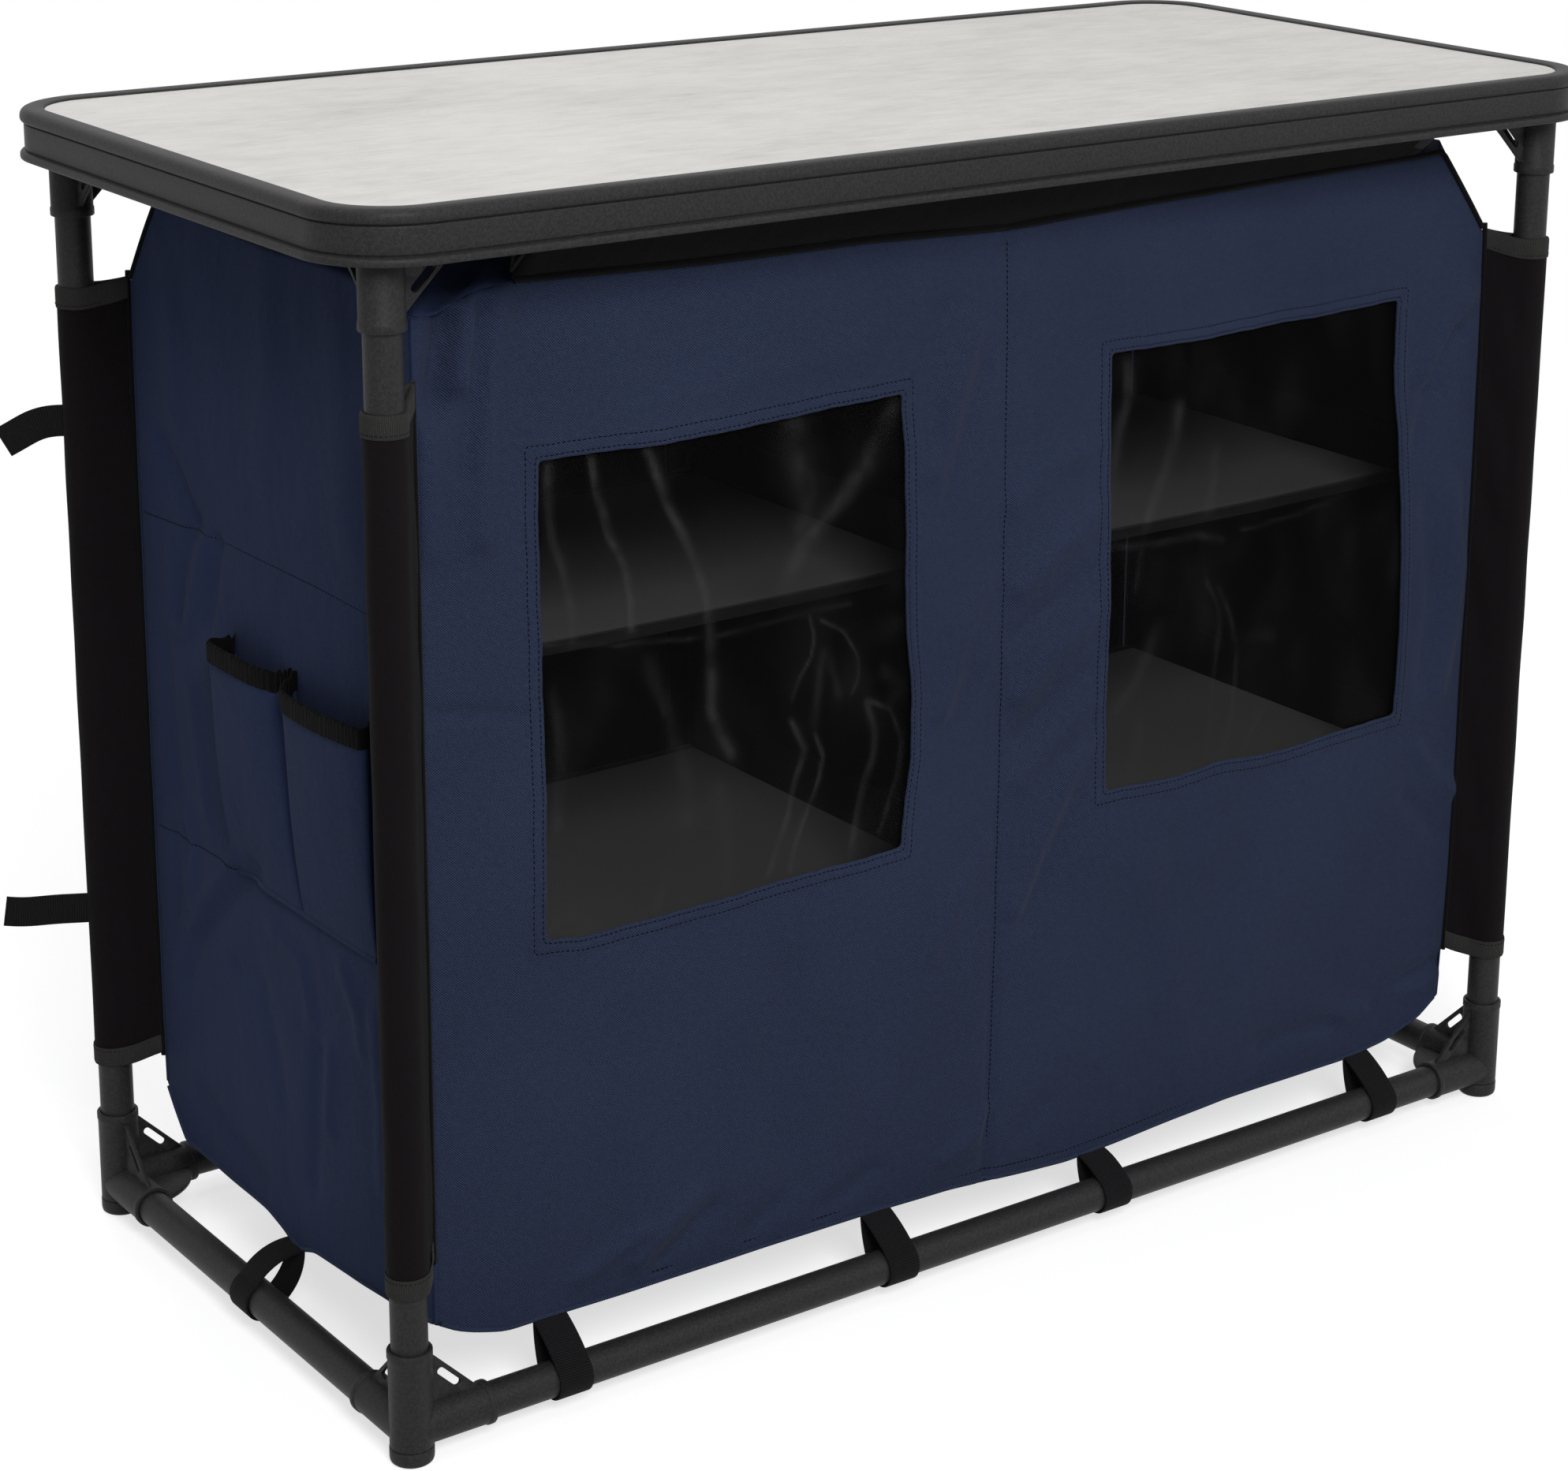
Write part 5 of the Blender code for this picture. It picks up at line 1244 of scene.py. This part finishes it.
share_y, flat_z = crossed(np.linspace(0, 1, 40), spaced((FLOOR, STILL_LOW, STILL_HIGH, ROOF), COARSE_STEP))
front_y = front_point(0.0, flat_z, -1.4 * MM)[..., 1]
div_y = front_y + share_y * (HALF_Y - 1.6 * MM - front_y)
hung_z = between(floor_height(0.0, div_y) + 1.4 * MM, roof_height(0.0, div_y) - 1.4 * MM, flat_z,
                 STILL_LOW, STILL_HIGH)
bow = 1.2 * MM * np.sin(div_y * 30 + 1) * np.sin(hung_z * 14) * (1 - (2 * share_y - 1) ** 4)
divider = surface("divider", at(bow - 0.5 * MM, div_y, hung_z), BLACK_COAT, at(div_y, hung_z), wall=1.0 * MM)
settle(divider, "black_fabric", "divider_panel")

POST_HALF = 18 * MM
DOOR_LOW, DOOR_HIGH = 81.2 * MM, 713.8 * MM
flat_x, flat_z = crossed(spaced((-POST_HALF, POST_HALF), 4 * MM), spaced((DOOR_LOW, DOOR_HIGH), COARSE_STEP))
post = surface("centre_post", at(flat_x, HALF_Y, flat_z), SIDE_TWILL, at(-flat_x, flat_z), **LINED)
settle(post, "navy_twill", "centre_post_strip")


# Shelves.
# Four stiffened boards in grey lining, two a side of the divider. Each has a flap turned up at
# both ends that is sewn to the wall or divider, and black binding along its front and rear edges.

SHELF_FRONT, SHELF_REAR, SHELF_THICK = -125 * MM, 180 * MM, 5 * MM
LINING = twill("grey_lining", linear(62, 61, 61), linear(88, 87, 86), 0.9 * MM, 1.0, 0.00008)
EDGE_BINDING = twill("black_binding", linear(8, 8, 8), linear(22, 22, 23), 0.8 * MM, 0.0, 0.00010)


def flat_bar(half_wide, half_thick, step, edge_steps=5):
    """A flat section with round edges: its width along the first value."""
    angle = np.linspace(-np.pi / 2, np.pi / 2, edge_steps + 1)
    straight = spaced((-half_wide + half_thick, half_wide - half_thick), step)
    right = at(half_wide - half_thick + half_thick * np.cos(angle), half_thick * np.sin(angle))
    top = at(straight[::-1][1:-1], half_thick)
    return np.vstack((right, top, -right, -top))


UP = np.array((0.0, 0.0, 1.0))
MID_SHELF = (SHELF_FRONT + SHELF_REAR) / 2
# The binding's section: how far out from the shelf's edge and how high, in mm.
SHELF_BINDING = MM * np.array((
    (0.5, -2.9), (0.5, 2.9), (0.2, 3.3), (-1.2, 3.4), (-6.5, 3.3), (-6.8, 2.8), (-6.5, 2.45), (-1.0, 2.4),
    (-1.0, -2.4), (-6.5, -2.45), (-6.8, -2.8), (-6.5, -3.3), (-1.2, -3.4), (0.2, -3.3)))
near, far = 2.4 * MM, HALF_X - 3.4 * MM
run = spaced((near, far), 15 * MM)
flap_y = spaced((SHELF_FRONT + 2 * MM, SHELF_REAR - 2 * MM), 15 * MM)
sag = -3.0 * MM * (1 - ((run - near) / (far - near) * 2 - 1) ** 2)
for level, height in (("upper", 487 * MM), ("lower", 268 * MM)):
    for hand, side in HANDS:
        node = f"shelf_{level}_{hand}"
        path = at(side * run, MID_SHELF, height - SHELF_THICK / 2 + sag)
        board = carried("board", path, REAR_OUT, UP,
                        flat_bar((SHELF_REAR - SHELF_FRONT) / 2, SHELF_THICK / 2, 20 * MM), LINING)
        flaps = [carried("flap", at(side * x, flap_y, height + 16 * MM), UP, np.array((1.0, 0.0, 0.0)),
                         flat_bar(20.5 * MM, 0.6 * MM, 10 * MM), BLACK_COAT)
                 for x in (near + 0.2 * MM, far + 0.6 * MM)]
        settle(joined(node + "_board", [board]), "grey_lining", node)
        settle(joined(node + "_flaps", flaps), "black_fabric", node)
        bindings = [carried("binding", path + (0, edge_y - MID_SHELF, 0), way * REAR_OUT, UP,
                            SHELF_BINDING, EDGE_BINDING)
                    for edge_y, way in ((SHELF_FRONT, -1), (SHELF_REAR, 1))]
        settle(joined(node + "_binding", bindings), "black_fabric", node)


# Rear doors.
# Two navy twill doors, each sewn to the cabinet along its outer edge and zipped to the centre
# post along its free edge. Each door's edges are turned back and stitched.

BLACK_TAPE = twill("zip_tape", linear(8, 8, 9), linear(22, 22, 23), 0.9 * MM, 0.0, 0.00010)


def zip_coil():
    """Black coil: one tooth to each 1.3 mm of its length, each crest painted paler as a highlight."""
    coil = Finish("zip_coil", Roughness=0.45, Specular_IOR_Level=0.35)
    along, _, _ = coil.along(coil.cloth_place())
    tooth = (along * (2 * np.pi / (1.3 * MM))).sine() * 0.5 + 0.5
    # Paler on each tooth's crest: painted highlight.
    coil.paint(coil.blend(tooth, (0.004, 0.004, 0.004, 1.0), (0.030, 0.030, 0.031, 1.0)))
    coil.relief(tooth, 0.0005, 1.0)
    return coil.material


ZIP_COIL = zip_coil()
DOOR_FREE, DOOR_SEWN = 18.6 * MM, 441.6 * MM
DOOR_WIDE = DOOR_SEWN - DOOR_FREE


def door_edge(z):
    """The sewn edge's distance from the middle at a height: straight, and slanting at both cut corners."""
    top = 442 * MM - (z - 683 * MM) * 43.5 / 62
    bottom = 442 * MM - (95 * MM - z) * 30 / 40
    return np.minimum(DOOR_SEWN, np.minimum(top, bottom) - 1.8 * MM)


def door_place(side, share, z, proud=0.0):
    """A place on a door: share 0 at its free edge and 1 at its sewn edge. It bows out slightly."""
    x = DOOR_FREE + share * (door_edge(z) - DOOR_FREE)
    up = np.clip((z - DOOR_LOW) / (DOOR_HIGH - DOOR_LOW), 0, 1)
    bow = 16 * share * (1 - share) * up * (1 - up)
    belly = MM * bow * (2.4 + 0.7 * np.sin(x * 40 + z * 12) + 0.5 * np.sin(x * 23 - z * 31 + side))
    return at(side * x, HALF_Y + belly + proud, z)


COIL_SECTION = ring(1.1 * MM, 10)
TAPE_SECTION = flat_bar(7.0 * MM, 0.35 * MM, 7 * MM)[:, ::-1]
for hand, side in HANDS:
    body = f"door_{hand}"
    share, flat_z = crossed(spaced((0, 1), 0.014), spaced((DOOR_LOW, 0.095, 0.683, DOOR_HIGH), 6 * MM))
    cloth = at(-side * (DOOR_FREE + share * (door_edge(flat_z) - DOOR_FREE)), flat_z)
    door = surface(f"rear_door_{hand}", door_place(side, share, flat_z), SIDE_TWILL, cloth,
                   flip=side < 0, **LINED)
    settle(door, "navy_twill", body, body=body)
    z = spaced((DOOR_LOW + 1.5 * MM, DOOR_HIGH - 1.5 * MM), 8 * MM)
    tape_path = door_place(side, 7.5 * MM / DOOR_WIDE, z, 0.35 * MM)
    tape = cord_along(f"zip_tape_{hand}", tape_path, REAR_OUT, TAPE_SECTION, BLACK_TAPE)
    settle(tape, "black_fabric", body, body=body)
    coil_path = door_place(side, 0.0, z, 0.9 * MM) + (side * 0.4 * MM, 0, 0)
    coil = cord_along(f"zip_coil_{hand}", coil_path, REAR_OUT, COIL_SECTION, ZIP_COIL)
    settle(coil, "black_fabric", body, body=body)
    rows = [stitches(door_place(side, inset / DOOR_WIDE, z, 0.1 * MM + (0.65 * MM if inset < 0.015 else 0)),
                     REAR_OUT) for inset in (0.0125, 0.0175)]
    share = np.arange(0.03, 0.97, 0.015)
    for height in (DOOR_LOW + 9 * MM, DOOR_HIGH - 9 * MM):
        rows.append(stitches(door_place(side, share, height, 0.12 * MM), REAR_OUT))
    settle(stitched(f"door_stitching_{hand}", rows, SEAM_THREAD_PAINTED_SHADE), "navy_twill", body, body=body)

    tape_path = at(side * (POST_HALF - 7.6 * MM), HALF_Y + 0.35 * MM, z)
    tape = cord_along(f"post_zip_tape_{hand}", tape_path, REAR_OUT, TAPE_SECTION, BLACK_TAPE)
    settle(tape, "black_fabric", "centre_post_strip")
    coil = cord_along(f"post_zip_coil_{hand}", tape_path + (side * 6.9 * MM, 0.55 * MM, 0), REAR_OUT,
                      COIL_SECTION, ZIP_COIL)
    settle(coil, "black_fabric", "centre_post_strip")


# Zip sliders.
# A cast slider on each zip, with a bridge over its body and a long flat pull.

def cast_metal():
    """Dark plated metal, a little brushed, paler where it is rubbed."""
    metal = Finish("zip_metal", Metallic=0.9, Roughness=0.35)
    place = metal.object_place()
    rub = metal.noise(place, 260.0, 3.0, 0.6)
    metal.paint(metal.blend(rub.ramp(0.35, 0.7), (0.10, 0.10, 0.105, 1.0), (0.30, 0.30, 0.31, 1.0)),
                0.28 + 0.25 * metal.noise(place, 900.0))
    metal.relief(rub, 0.00004, 0.5)
    return metal.material


ZIP_METAL = cast_metal()


def lozenge(name, centre, half_wide, half_thick, z, sides=20):
    """Stacked rings about a centre line: at each height a squared round of the half width and thickness."""
    angle = np.linspace(0, 2 * np.pi, sides + 1)
    squared = [np.sign(np.round(way, 9)) * np.abs(way) ** 0.5 for way in (np.cos(angle), np.sin(angle))]
    x = centre[0] + np.outer(squared[0], half_wide)
    y = centre[1] + np.outer(squared[1], half_thick)
    return surface(name, at(x, y, z), ZIP_METAL, weld=True, crisp=50)


# The body's and the pull's heights and half widths and thicknesses, and the bridge's path, in mm.
BODY_UP = MM * np.array((0, 0, 0.6, 2, 5, 8, 11, 13.2, 14, 14))
BODY_WIDE = MM * np.array((0, 2.9, 3.4, 3.6, 3.7, 4.1, 4.4, 4.2, 3.6, 0))
BODY_THICK = MM * np.array((0, 1.4, 1.7, 1.8, 1.8, 1.8, 1.8, 1.7, 1.4, 0))
BRIDGE_UP = MM * np.array((2, 3, 5, 7.5, 10, 12, 12.8))
BRIDGE_OUT = MM * np.array((4.3, 5.3, 5.9, 6.0, 5.8, 5.1, 4.3)) - 1.2 * MM
PULL_UP = MM * np.array((7.5, 7.5, 7.2, 5.5, 2, -4, -11, -15.4, -16.3, -16.6, -16.6))
PULL_WIDE = MM * np.array((0, 1.4, 2.0, 2.1, 1.7, 1.9, 2.6, 2.8, 2.4, 1.8, 0))
PULL_THICK = MM * np.array((0, 0.5, 0.7, 0.75, 0.75, 0.75, 0.75, 0.7, 0.6, 0.45, 0))
SLIDER_LOW = 85.7 * MM
for hand, side in HANDS:
    mid_x = side * (DOOR_FREE + 4.2 * MM)
    body = lozenge("body", (mid_x, HALF_Y + 2.6 * MM), BODY_WIDE, BODY_THICK, SLIDER_LOW + BODY_UP)
    bridge = cord_along("bridge", at(mid_x, HALF_Y + BRIDGE_OUT, SLIDER_LOW + BRIDGE_UP), REAR_OUT,
                        flat_bar(1.4 * MM, 0.45 * MM, 1 * MM)[:, ::-1], ZIP_METAL)
    pull = lozenge("pull", (mid_x, HALF_Y + 5.9 * MM), PULL_WIDE, PULL_THICK, SLIDER_LOW + PULL_UP)
    slider = joined(f"zip_slider_{hand}_cast", (body, bridge, pull))
    settle(slider, "zip_metal", f"zip_slider_{hand}", body=f"zip_{hand}")


# Leg sleeves and ties.
# A loop of black twill round each leg, sewn into the corner seam of the cabinet, so that the leg
# holds the corner out. Both ends are bound in dark grey. The rear pair carry two tie straps each.

SLEEVE_TWILL = twill("black_sleeve_twill", linear(8, 7, 8), linear(30, 27, 29), 1.0 * MM, -1.0, 0.00014,
                     0.02, 0.03, crumple=3.5)
GREY_BINDING = twill("grey_binding", linear(28, 28, 28), linear(60, 59, 58), 1.0 * MM, 0.0, 0.00012)
WEBBING = twill("black_webbing", linear(10, 10, 11), linear(32, 31, 33), 1.6 * MM, 0.0, 0.00025)
BLACK_THREAD = twill("black_thread", linear(12, 12, 13), linear(30, 30, 31), 0.5 * MM, 1.0, 0.00005)


def teardrop(centre, tip, radius, run_step=4 * MM, arc_steps=36):
    """A band's path round a tube and out along both tangents to a seam, with outward directions.

    It opens from the line to the seam by the angle whose cosine is radius / distance. The third
    value is how far each place is out along the tangents, from 0 at the tube to 1 at the seam."""
    centre, tip = np.asarray(centre, float), np.asarray(tip, float)
    run = tip - centre
    distance = np.hypot(*run)
    heading, opening = np.arctan2(run[1], run[0]), np.arccos(radius / distance)
    angle = heading + np.linspace(opening, 2 * np.pi - opening, arc_steps + 1)
    ways = np.stack((np.cos(angle), np.sin(angle)), axis=1)
    arc = centre + radius * ways
    steps = max(2, int(np.ceil(np.hypot(*(tip - arc[0])) / run_step)))
    share = np.linspace(1, 0, steps, endpoint=False)[:, None]
    out, back = arc[0] + share * (tip - arc[0]), arc[-1] + share[::-1] * (tip - arc[-1])
    points = np.vstack((out, arc, back))
    ways = np.vstack((np.repeat(ways[:1], steps, 0), ways, np.repeat(ways[-1:], steps, 0)))
    far = np.concatenate((share[:, 0], np.zeros(len(arc)), share[::-1, 0]))
    return points, ways, far


def corner_shift(side, end, z):
    """How far a corner seam moves with the cabinet's fullness at a height."""
    front = 4.5 if end < 0 else 0.0
    return at(side * 1.5 * MM * swell(z), end * front * MM * swell(z))


LEG_X, LEG_Y = 474 * MM, 211.3 * MM
SLEEVE_LOW, SLEEVE_HIGH, SLEEVE_RADIUS = 117 * MM, 678 * MM, 13.3 * MM
U_BINDING = MM * np.array((
    (0.75, -13.5), (0.95, -13.0), (0.95, -1.0), (0.6, 0.5), (-0.5, 1.1), (-1.6, 0.5), (-1.9, -1.0),
    (-1.9, -13.0), (-1.4, -13.3), (-1.25, -1.0), (-0.5, -0.35), (0.3, -1.0), (0.35, -13.2)))


def leg_sleeve(end_name, end, hand, side):
    """A sleeve's cloth, its end bindings, its stitching and the cord in its seam."""
    node = f"leg_sleeve_{end_name}_{hand}"
    tip = (side * (HALF_X + 0.8 * MM), end * (HALF_Y + 0.8 * MM))
    points, ways, far = teardrop((side * LEG_X, end * LEG_Y), tip, SLEEVE_RADIUS)
    along, far = run_along(points)[:, None], far[:, None]

    def place(z, proud=0.0):
        """Places round the sleeve at heights z, one row of heights for each step round it."""
        wrinkle = (MM * (0.6 * np.sin(along * 170 + z * 33) * np.sin(z * 27 + side)
                         + 0.5 * np.sin(z * 61 + along * 75 + 1.3 * np.sin(z * 13)))
                   * (0.3 + far * (1 - far) * 4))
        flat = (points[:, None] + (wrinkle + proud)[..., None] * ways[:, None]
                + far[..., None] * corner_shift(side, end, z))
        return np.concatenate((flat, z[..., None]), axis=-1)

    low = SLEEVE_LOW + 6 * MM * far ** 1.5
    rise = 11 * MM if side < 0 and end < 0 else 6.5 * MM
    high = SLEEVE_HIGH + rise * far ** 1.5
    z = low + np.linspace(0, 1, 96) * (high - low)
    cloth = surface(node + "_cloth", place(z), SLEEVE_TWILL, at(along, z), flip=True, wall=0.9 * MM)
    settle(cloth, "black_fabric", node)
    bindings, rows = [], []
    outward = np.concatenate((ways, np.zeros((len(ways), 1))), axis=1)
    for edge, way in ((high, 1.0), (low, -1.0)):
        path = place(edge)[:, 0]
        bindings.append(carried("binding", path, outward, UP, U_BINDING * (1, way), GREY_BINDING))
        row = place(edge - way * 11 * MM, 1.05 * MM)[:, 0]
        rows.append(stitches(row[2:-2], outward[2:-2], 2.2 * MM, 0.8 * MM, 0.25 * MM))
    settle(joined(node + "_binding", bindings), "black_fabric", node)
    settle(stitched(node + "_stitching", rows, BLACK_THREAD), "black_fabric", node)
    z = np.linspace(SLEEVE_LOW + 3 * MM, SLEEVE_HIGH + 11 * MM, 90)
    seam = np.array(tip) + corner_shift(side, end, z) + 0.6 * MM * unit(np.array((side, end)))
    seam_path = np.concatenate((seam, z[:, None]), axis=1)
    cord = cord_along(node + "_seam_cord", seam_path, (side, 0.0, 0.0),
                      ring(1.9 * MM, 10), PIPING_BLACK)
    settle(cord, "black_fabric", node)


ENDS = (("front", -1), ("rear", 1))
for end_name, end in ENDS:
    for hand, side in HANDS:
        leg_sleeve(end_name, end, hand, side)

for hand, side in HANDS:
    for level, height, reach, turned_by, droop in (("upper", 585.5 * MM, 54 * MM, 149, 15 * MM),
                                                   ("lower", 233 * MM, 70 * MM, 155.5, -1 * MM)):
        angle = np.radians(turned_by if side < 0 else 180 - turned_by)
        way = np.array((np.cos(angle), np.sin(angle), 0.0))
        reach_out = spaced((12.9 * MM, reach), 3 * MM)
        share = (reach_out - reach_out[0]) / (reach_out[-1] - reach_out[0])
        path = np.array((side * LEG_X, LEG_Y, height)) + reach_out[:, None] * way
        path[:, 2] -= droop * share ** 2
        path[:, 2] += 1.4 * MM * np.sin(share * 6) * share
        path[:, :2] += (2.2 * MM * np.sin(share * 5) * share)[:, None] * np.array((-way[1], way[0]))
        strap = cord_along(f"tie_{level}_{hand}", path, (-way[1], way[0], 0.0),
                           flat_bar(11 * MM, 0.8 * MM, 5 * MM)[:, ::-1], WEBBING)
        settle(strap, "black_webbing", f"leg_sleeve_rear_{hand}")


# Top flaps and rail loops.
# Black twill over each long upper rail, bound in grey at both ends, holds up the roof. Short
# loops of webbing round the lower rails hold the floor down.

RAIL_TOP, RAIL_LOW = 781.7 * MM, 22.55 * MM


FLAP_HALF = 375 * MM
for end_name, end in ENDS:
    node = f"top_flap_{end_name}"
    dip = roof_front if end < 0 else roof_rear
    points, ways, far = teardrop((end * LEG_Y, RAIL_TOP), (end * HALF_Y, ROOF + 1.0 * MM), SLEEVE_RADIUS)
    along, far = run_along(points), far[:, None]
    run = spaced((-FLAP_HALF, FLAP_HALF), 8 * MM)
    up = points[:, 1:] + far * dip(run) + MM * 0.5 * np.sin(run * 55) * far * (1 - far) * 4
    flap = surface(node + "_cloth", at(run, points[:, :1], up), SLEEVE_TWILL, at(run, along[:, None]),
                   wall=0.9 * MM)
    if end < 0:
        flap.data.flip_normals()
    settle(flap, "black_fabric", node)
    bindings = []
    for stop in (-FLAP_HALF, FLAP_HALF):
        path = at(stop, points[:, 0], points[:, 1])
        outward = at(0.0, ways[:, 0], ways[:, 1])
        bindings.append(carried("binding", path, outward, np.array((1.0, 0.0, 0.0)),
                                U_BINDING * (1, np.sign(stop)), GREY_BINDING))
    settle(joined(node + "_binding", bindings), "black_fabric", node)


def rail_loop(node, centre, seam, flat_axis, bulge):
    """A loop of webbing round a lower rail. Its two free runs stand out from straight by a bulge.

    The bulge is 4 * far * (1 - far), for far from 0 at the rail to 1 at the seam."""
    low, high = extent(node)
    middle = (low + high) / 2
    points, ways, far = teardrop(centre, seam, 13.35 * MM, 1.5 * MM, 40)
    points = points + (bulge * 4 * far * (1 - far))[:, None] * ways
    drift = 1.2 * MM * far * np.sin(7 * middle[1 - flat_axis] + 3 * middle[0])
    path, outward = np.empty((len(points), 3)), np.zeros((len(points), 3))
    path[:, flat_axis] = points[:, 0]
    path[:, 1 - flat_axis] = middle[1 - flat_axis] + drift
    path[:, 2] = points[:, 1]
    outward[:, flat_axis], outward[:, 2] = ways[:, 0], ways[:, 1]
    section = flat_bar(12.5 * MM, 0.7 * MM, 5 * MM)[:, ::-1]
    loop = cord_along(node + "_webbing", path, outward, section, WEBBING)
    settle(loop, "black_webbing", node)


for end_name, end in ENDS:
    for number in (1, 2, 3, 4):
        node = f"rail_loop_{end_name}_{number}"
        x = sum(extent(node))[0] / 2
        seam = (end * (HALF_Y + 0.3 * MM), float(floor_height(x, end * HALF_Y)) + 1.0 * MM)
        rail_loop(node, (end * LEG_Y, RAIL_LOW), seam, 1, 1.6 * MM)
for hand, side in HANDS:
    node = f"rail_loop_{hand}"
    y = sum(extent(node))[1] / 2
    seam = (side * (HALF_X + 0.3 * MM), float(floor_height(side * HALF_X, y)) + 1.0 * MM)
    rail_loop(node, (side * LEG_X, RAIL_LOW), seam, 0, 5.0 * MM)


# Side pockets.
# Two pockets in one pleated piece of navy twill on the left wall, sewn down along the foot and at
# the pleats. Black elastic is folded over the mouth and gathers it, so each pocket stands open.

def through(points, steps):
    """A smooth curve through points: cubic runs, the slope at each half the step between its neighbours."""
    points = np.asarray(points, float)
    padded = np.concatenate((2 * points[:1] - points[1:2], points, 2 * points[-1:] - points[-2:-1]))
    slope = (padded[2:] - padded[:-2]) / 2
    share = np.linspace(0, 1, steps, endpoint=False)[:, None, None]
    rest = 1 - share
    runs = ((1 + 2 * share) * rest ** 2 * points[:-1] + share * rest ** 2 * slope[:-1]
            + share ** 2 * (1 + 2 * rest) * points[1:] - share ** 2 * rest * slope[1:])
    return np.concatenate((runs.transpose(1, 0, 2).reshape(-1, points.shape[1]), points[-1:]))


# The mouth from the rear to the front: its stand-off, its place along the wall and its height, in mm.
POCKET_MOUTH = MM * through((
    (0.6, 46, 471), (7, 49, 470.5), (14, 52, 470), (18, 50, 469.5), (18.6, 42, 469), (18, 25, 468.5),
    (16, 3, 467.5), (12.5, -13, 466.5), (9, -21, 466), (4, -27, 466.5), (0.8, -33, 468.5),
    (0.8, -38, 468.8), (6, -38.5, 466), (12, -41, 462.5), (15, -48, 461), (17.5, -70, 461.5),
    (18.5, -98, 462), (17.5, -122, 463), (14.5, -142, 463.2), (11, -147, 463.5), (6, -144, 464.5),
    (0.8, -141, 466)), 8)
# The foot under each of those points: its stand-off and its place along the wall, in mm.
POCKET_FOOT = MM * through((
    (0.5, 55), (1.2, 55), (1.8, 54.5), (2.3, 52), (2.5, 47), (2.7, 30), (2.8, 6), (2.8, -15), (2.6, -34),
    (2.0, -38.5), (1.0, -39.5), (1.0, -40.0), (2.0, -40.6), (2.8, -42), (3.0, -47), (3.0, -68), (3.0, -92),
    (2.9, -115), (2.6, -132), (2.2, -135.5), (1.4, -136), (0.6, -136.3)), 8)
POCKET_SEAM = 305 * MM
ELASTIC = twill("black_elastic", linear(4, 4, 4), linear(20, 20, 20), 0.9 * MM, 0.0, 0.00020, 0.02, 0.03)


def on_left_wall(off, y, z):
    """A place so far out from the left wall's own cloth."""
    return at(-(HALF_X + side_relief(y, z) + off), y, z)


down = np.linspace(0, 1, 40)
top_off, top_y, top_z = (POCKET_MOUTH[:, [axis]] for axis in range(3))
foot_off, foot_y = (POCKET_FOOT[:, [axis]] for axis in range(2))
lean = (1 - down) ** 0.85
standing = np.clip(top_off / (14 * MM), 0, 1)
pocket_off = foot_off + (top_off - foot_off) * lean + 1.8 * MM * standing * np.sin(np.pi * down)
pocket_off = pocket_off + 0.5 * MM * standing * np.sin(top_y * 95 + 2) * np.sin(np.pi * down)
pocket_y = (foot_y + (top_y - foot_y) * (1 - down ** 1.6)
            + 3.0 * MM * np.clip(top_y / 0.05, 0, 1) * np.sin(np.pi * down ** 2))
pocket_z = POCKET_SEAM + (top_z - 1.5 * MM - POCKET_SEAM) * (1 - down)
mouth_run = run_along(POCKET_MOUTH)
pocket = surface("side_pockets_cloth", on_left_wall(pocket_off, pocket_y, pocket_z), SIDE_TWILL,
                 at(mouth_run[:, None], pocket_z), wall=0.9 * MM)
settle(pocket, "navy_twill", "side_pockets")

gathered = np.exp(-(top_off[:, 0] / (7 * MM)) ** 2)
band_run = spaced((0, mouth_run[-1]), 0.8 * MM)
mouth_path = on_left_wall(top_off[:, 0], top_y[:, 0], top_z[:, 0])
mouth_path = read_off(band_run, mouth_run, mouth_path)
gathered = np.interp(band_run, mouth_run, gathered)
heading = unit(np.gradient(mouth_path, axis=0))
away = unit(np.cross(heading, UP)) * (1.0, 1.0, 0.0)
stray = 1.6 * np.sin(band_run * 310) + 1.1 * np.sin(band_run * 173 + 1)
wave = MM * (0.15 + 0.8 * gathered) * np.sin(band_run * 2 * np.pi / (3.9 * MM) + stray)
lift = MM * (0.3 + 1.4 * gathered) * np.sin(band_run * 2 * np.pi / (6.3 * MM) + 1.0 + stray)
band_path = mouth_path + away * wave[:, None]
band_path[:, 2] += lift
ELASTIC_SECTION = MM * np.array((
    (0.9, -13.2), (1.15, -12.6), (1.15, -7.0), (1.3, -4.0), (1.15, -1.0), (0.6, 0.1), (-0.4, 0.5),
    (-1.4, 0.1), (-1.9, -1.0), (-1.9, -12.8), (-1.4, -13.0), (-1.2, -12.0), (-1.2, -1.4), (-0.4, -0.9),
    (0.2, -1.4), (0.3, -12.9)))
elastic = carried("side_pockets_elastic", band_path, away, UP, ELASTIC_SECTION, ELASTIC)
settle(elastic, "black_fabric", "side_pockets")
hem_y = np.arange(-0.136, 0.0555, 0.003)
FOOT_FOLD = MM * np.array((
    (1.9, -1.5), (2.2, 0.0), (1.9, 2.0), (0.6, 4.0), (-0.8, 4.0), (-1.2, 0.0), (-0.8, -1.8)))
hem_fold = cord_along("side_pockets_foot", on_left_wall(1.5 * MM, hem_y, POCKET_SEAM - 0.5 * MM),
                      (-1.0, 0.0, 0.0), FOOT_FOLD, SIDE_TWILL)
settle(hem_fold, "navy_twill", "side_pockets")
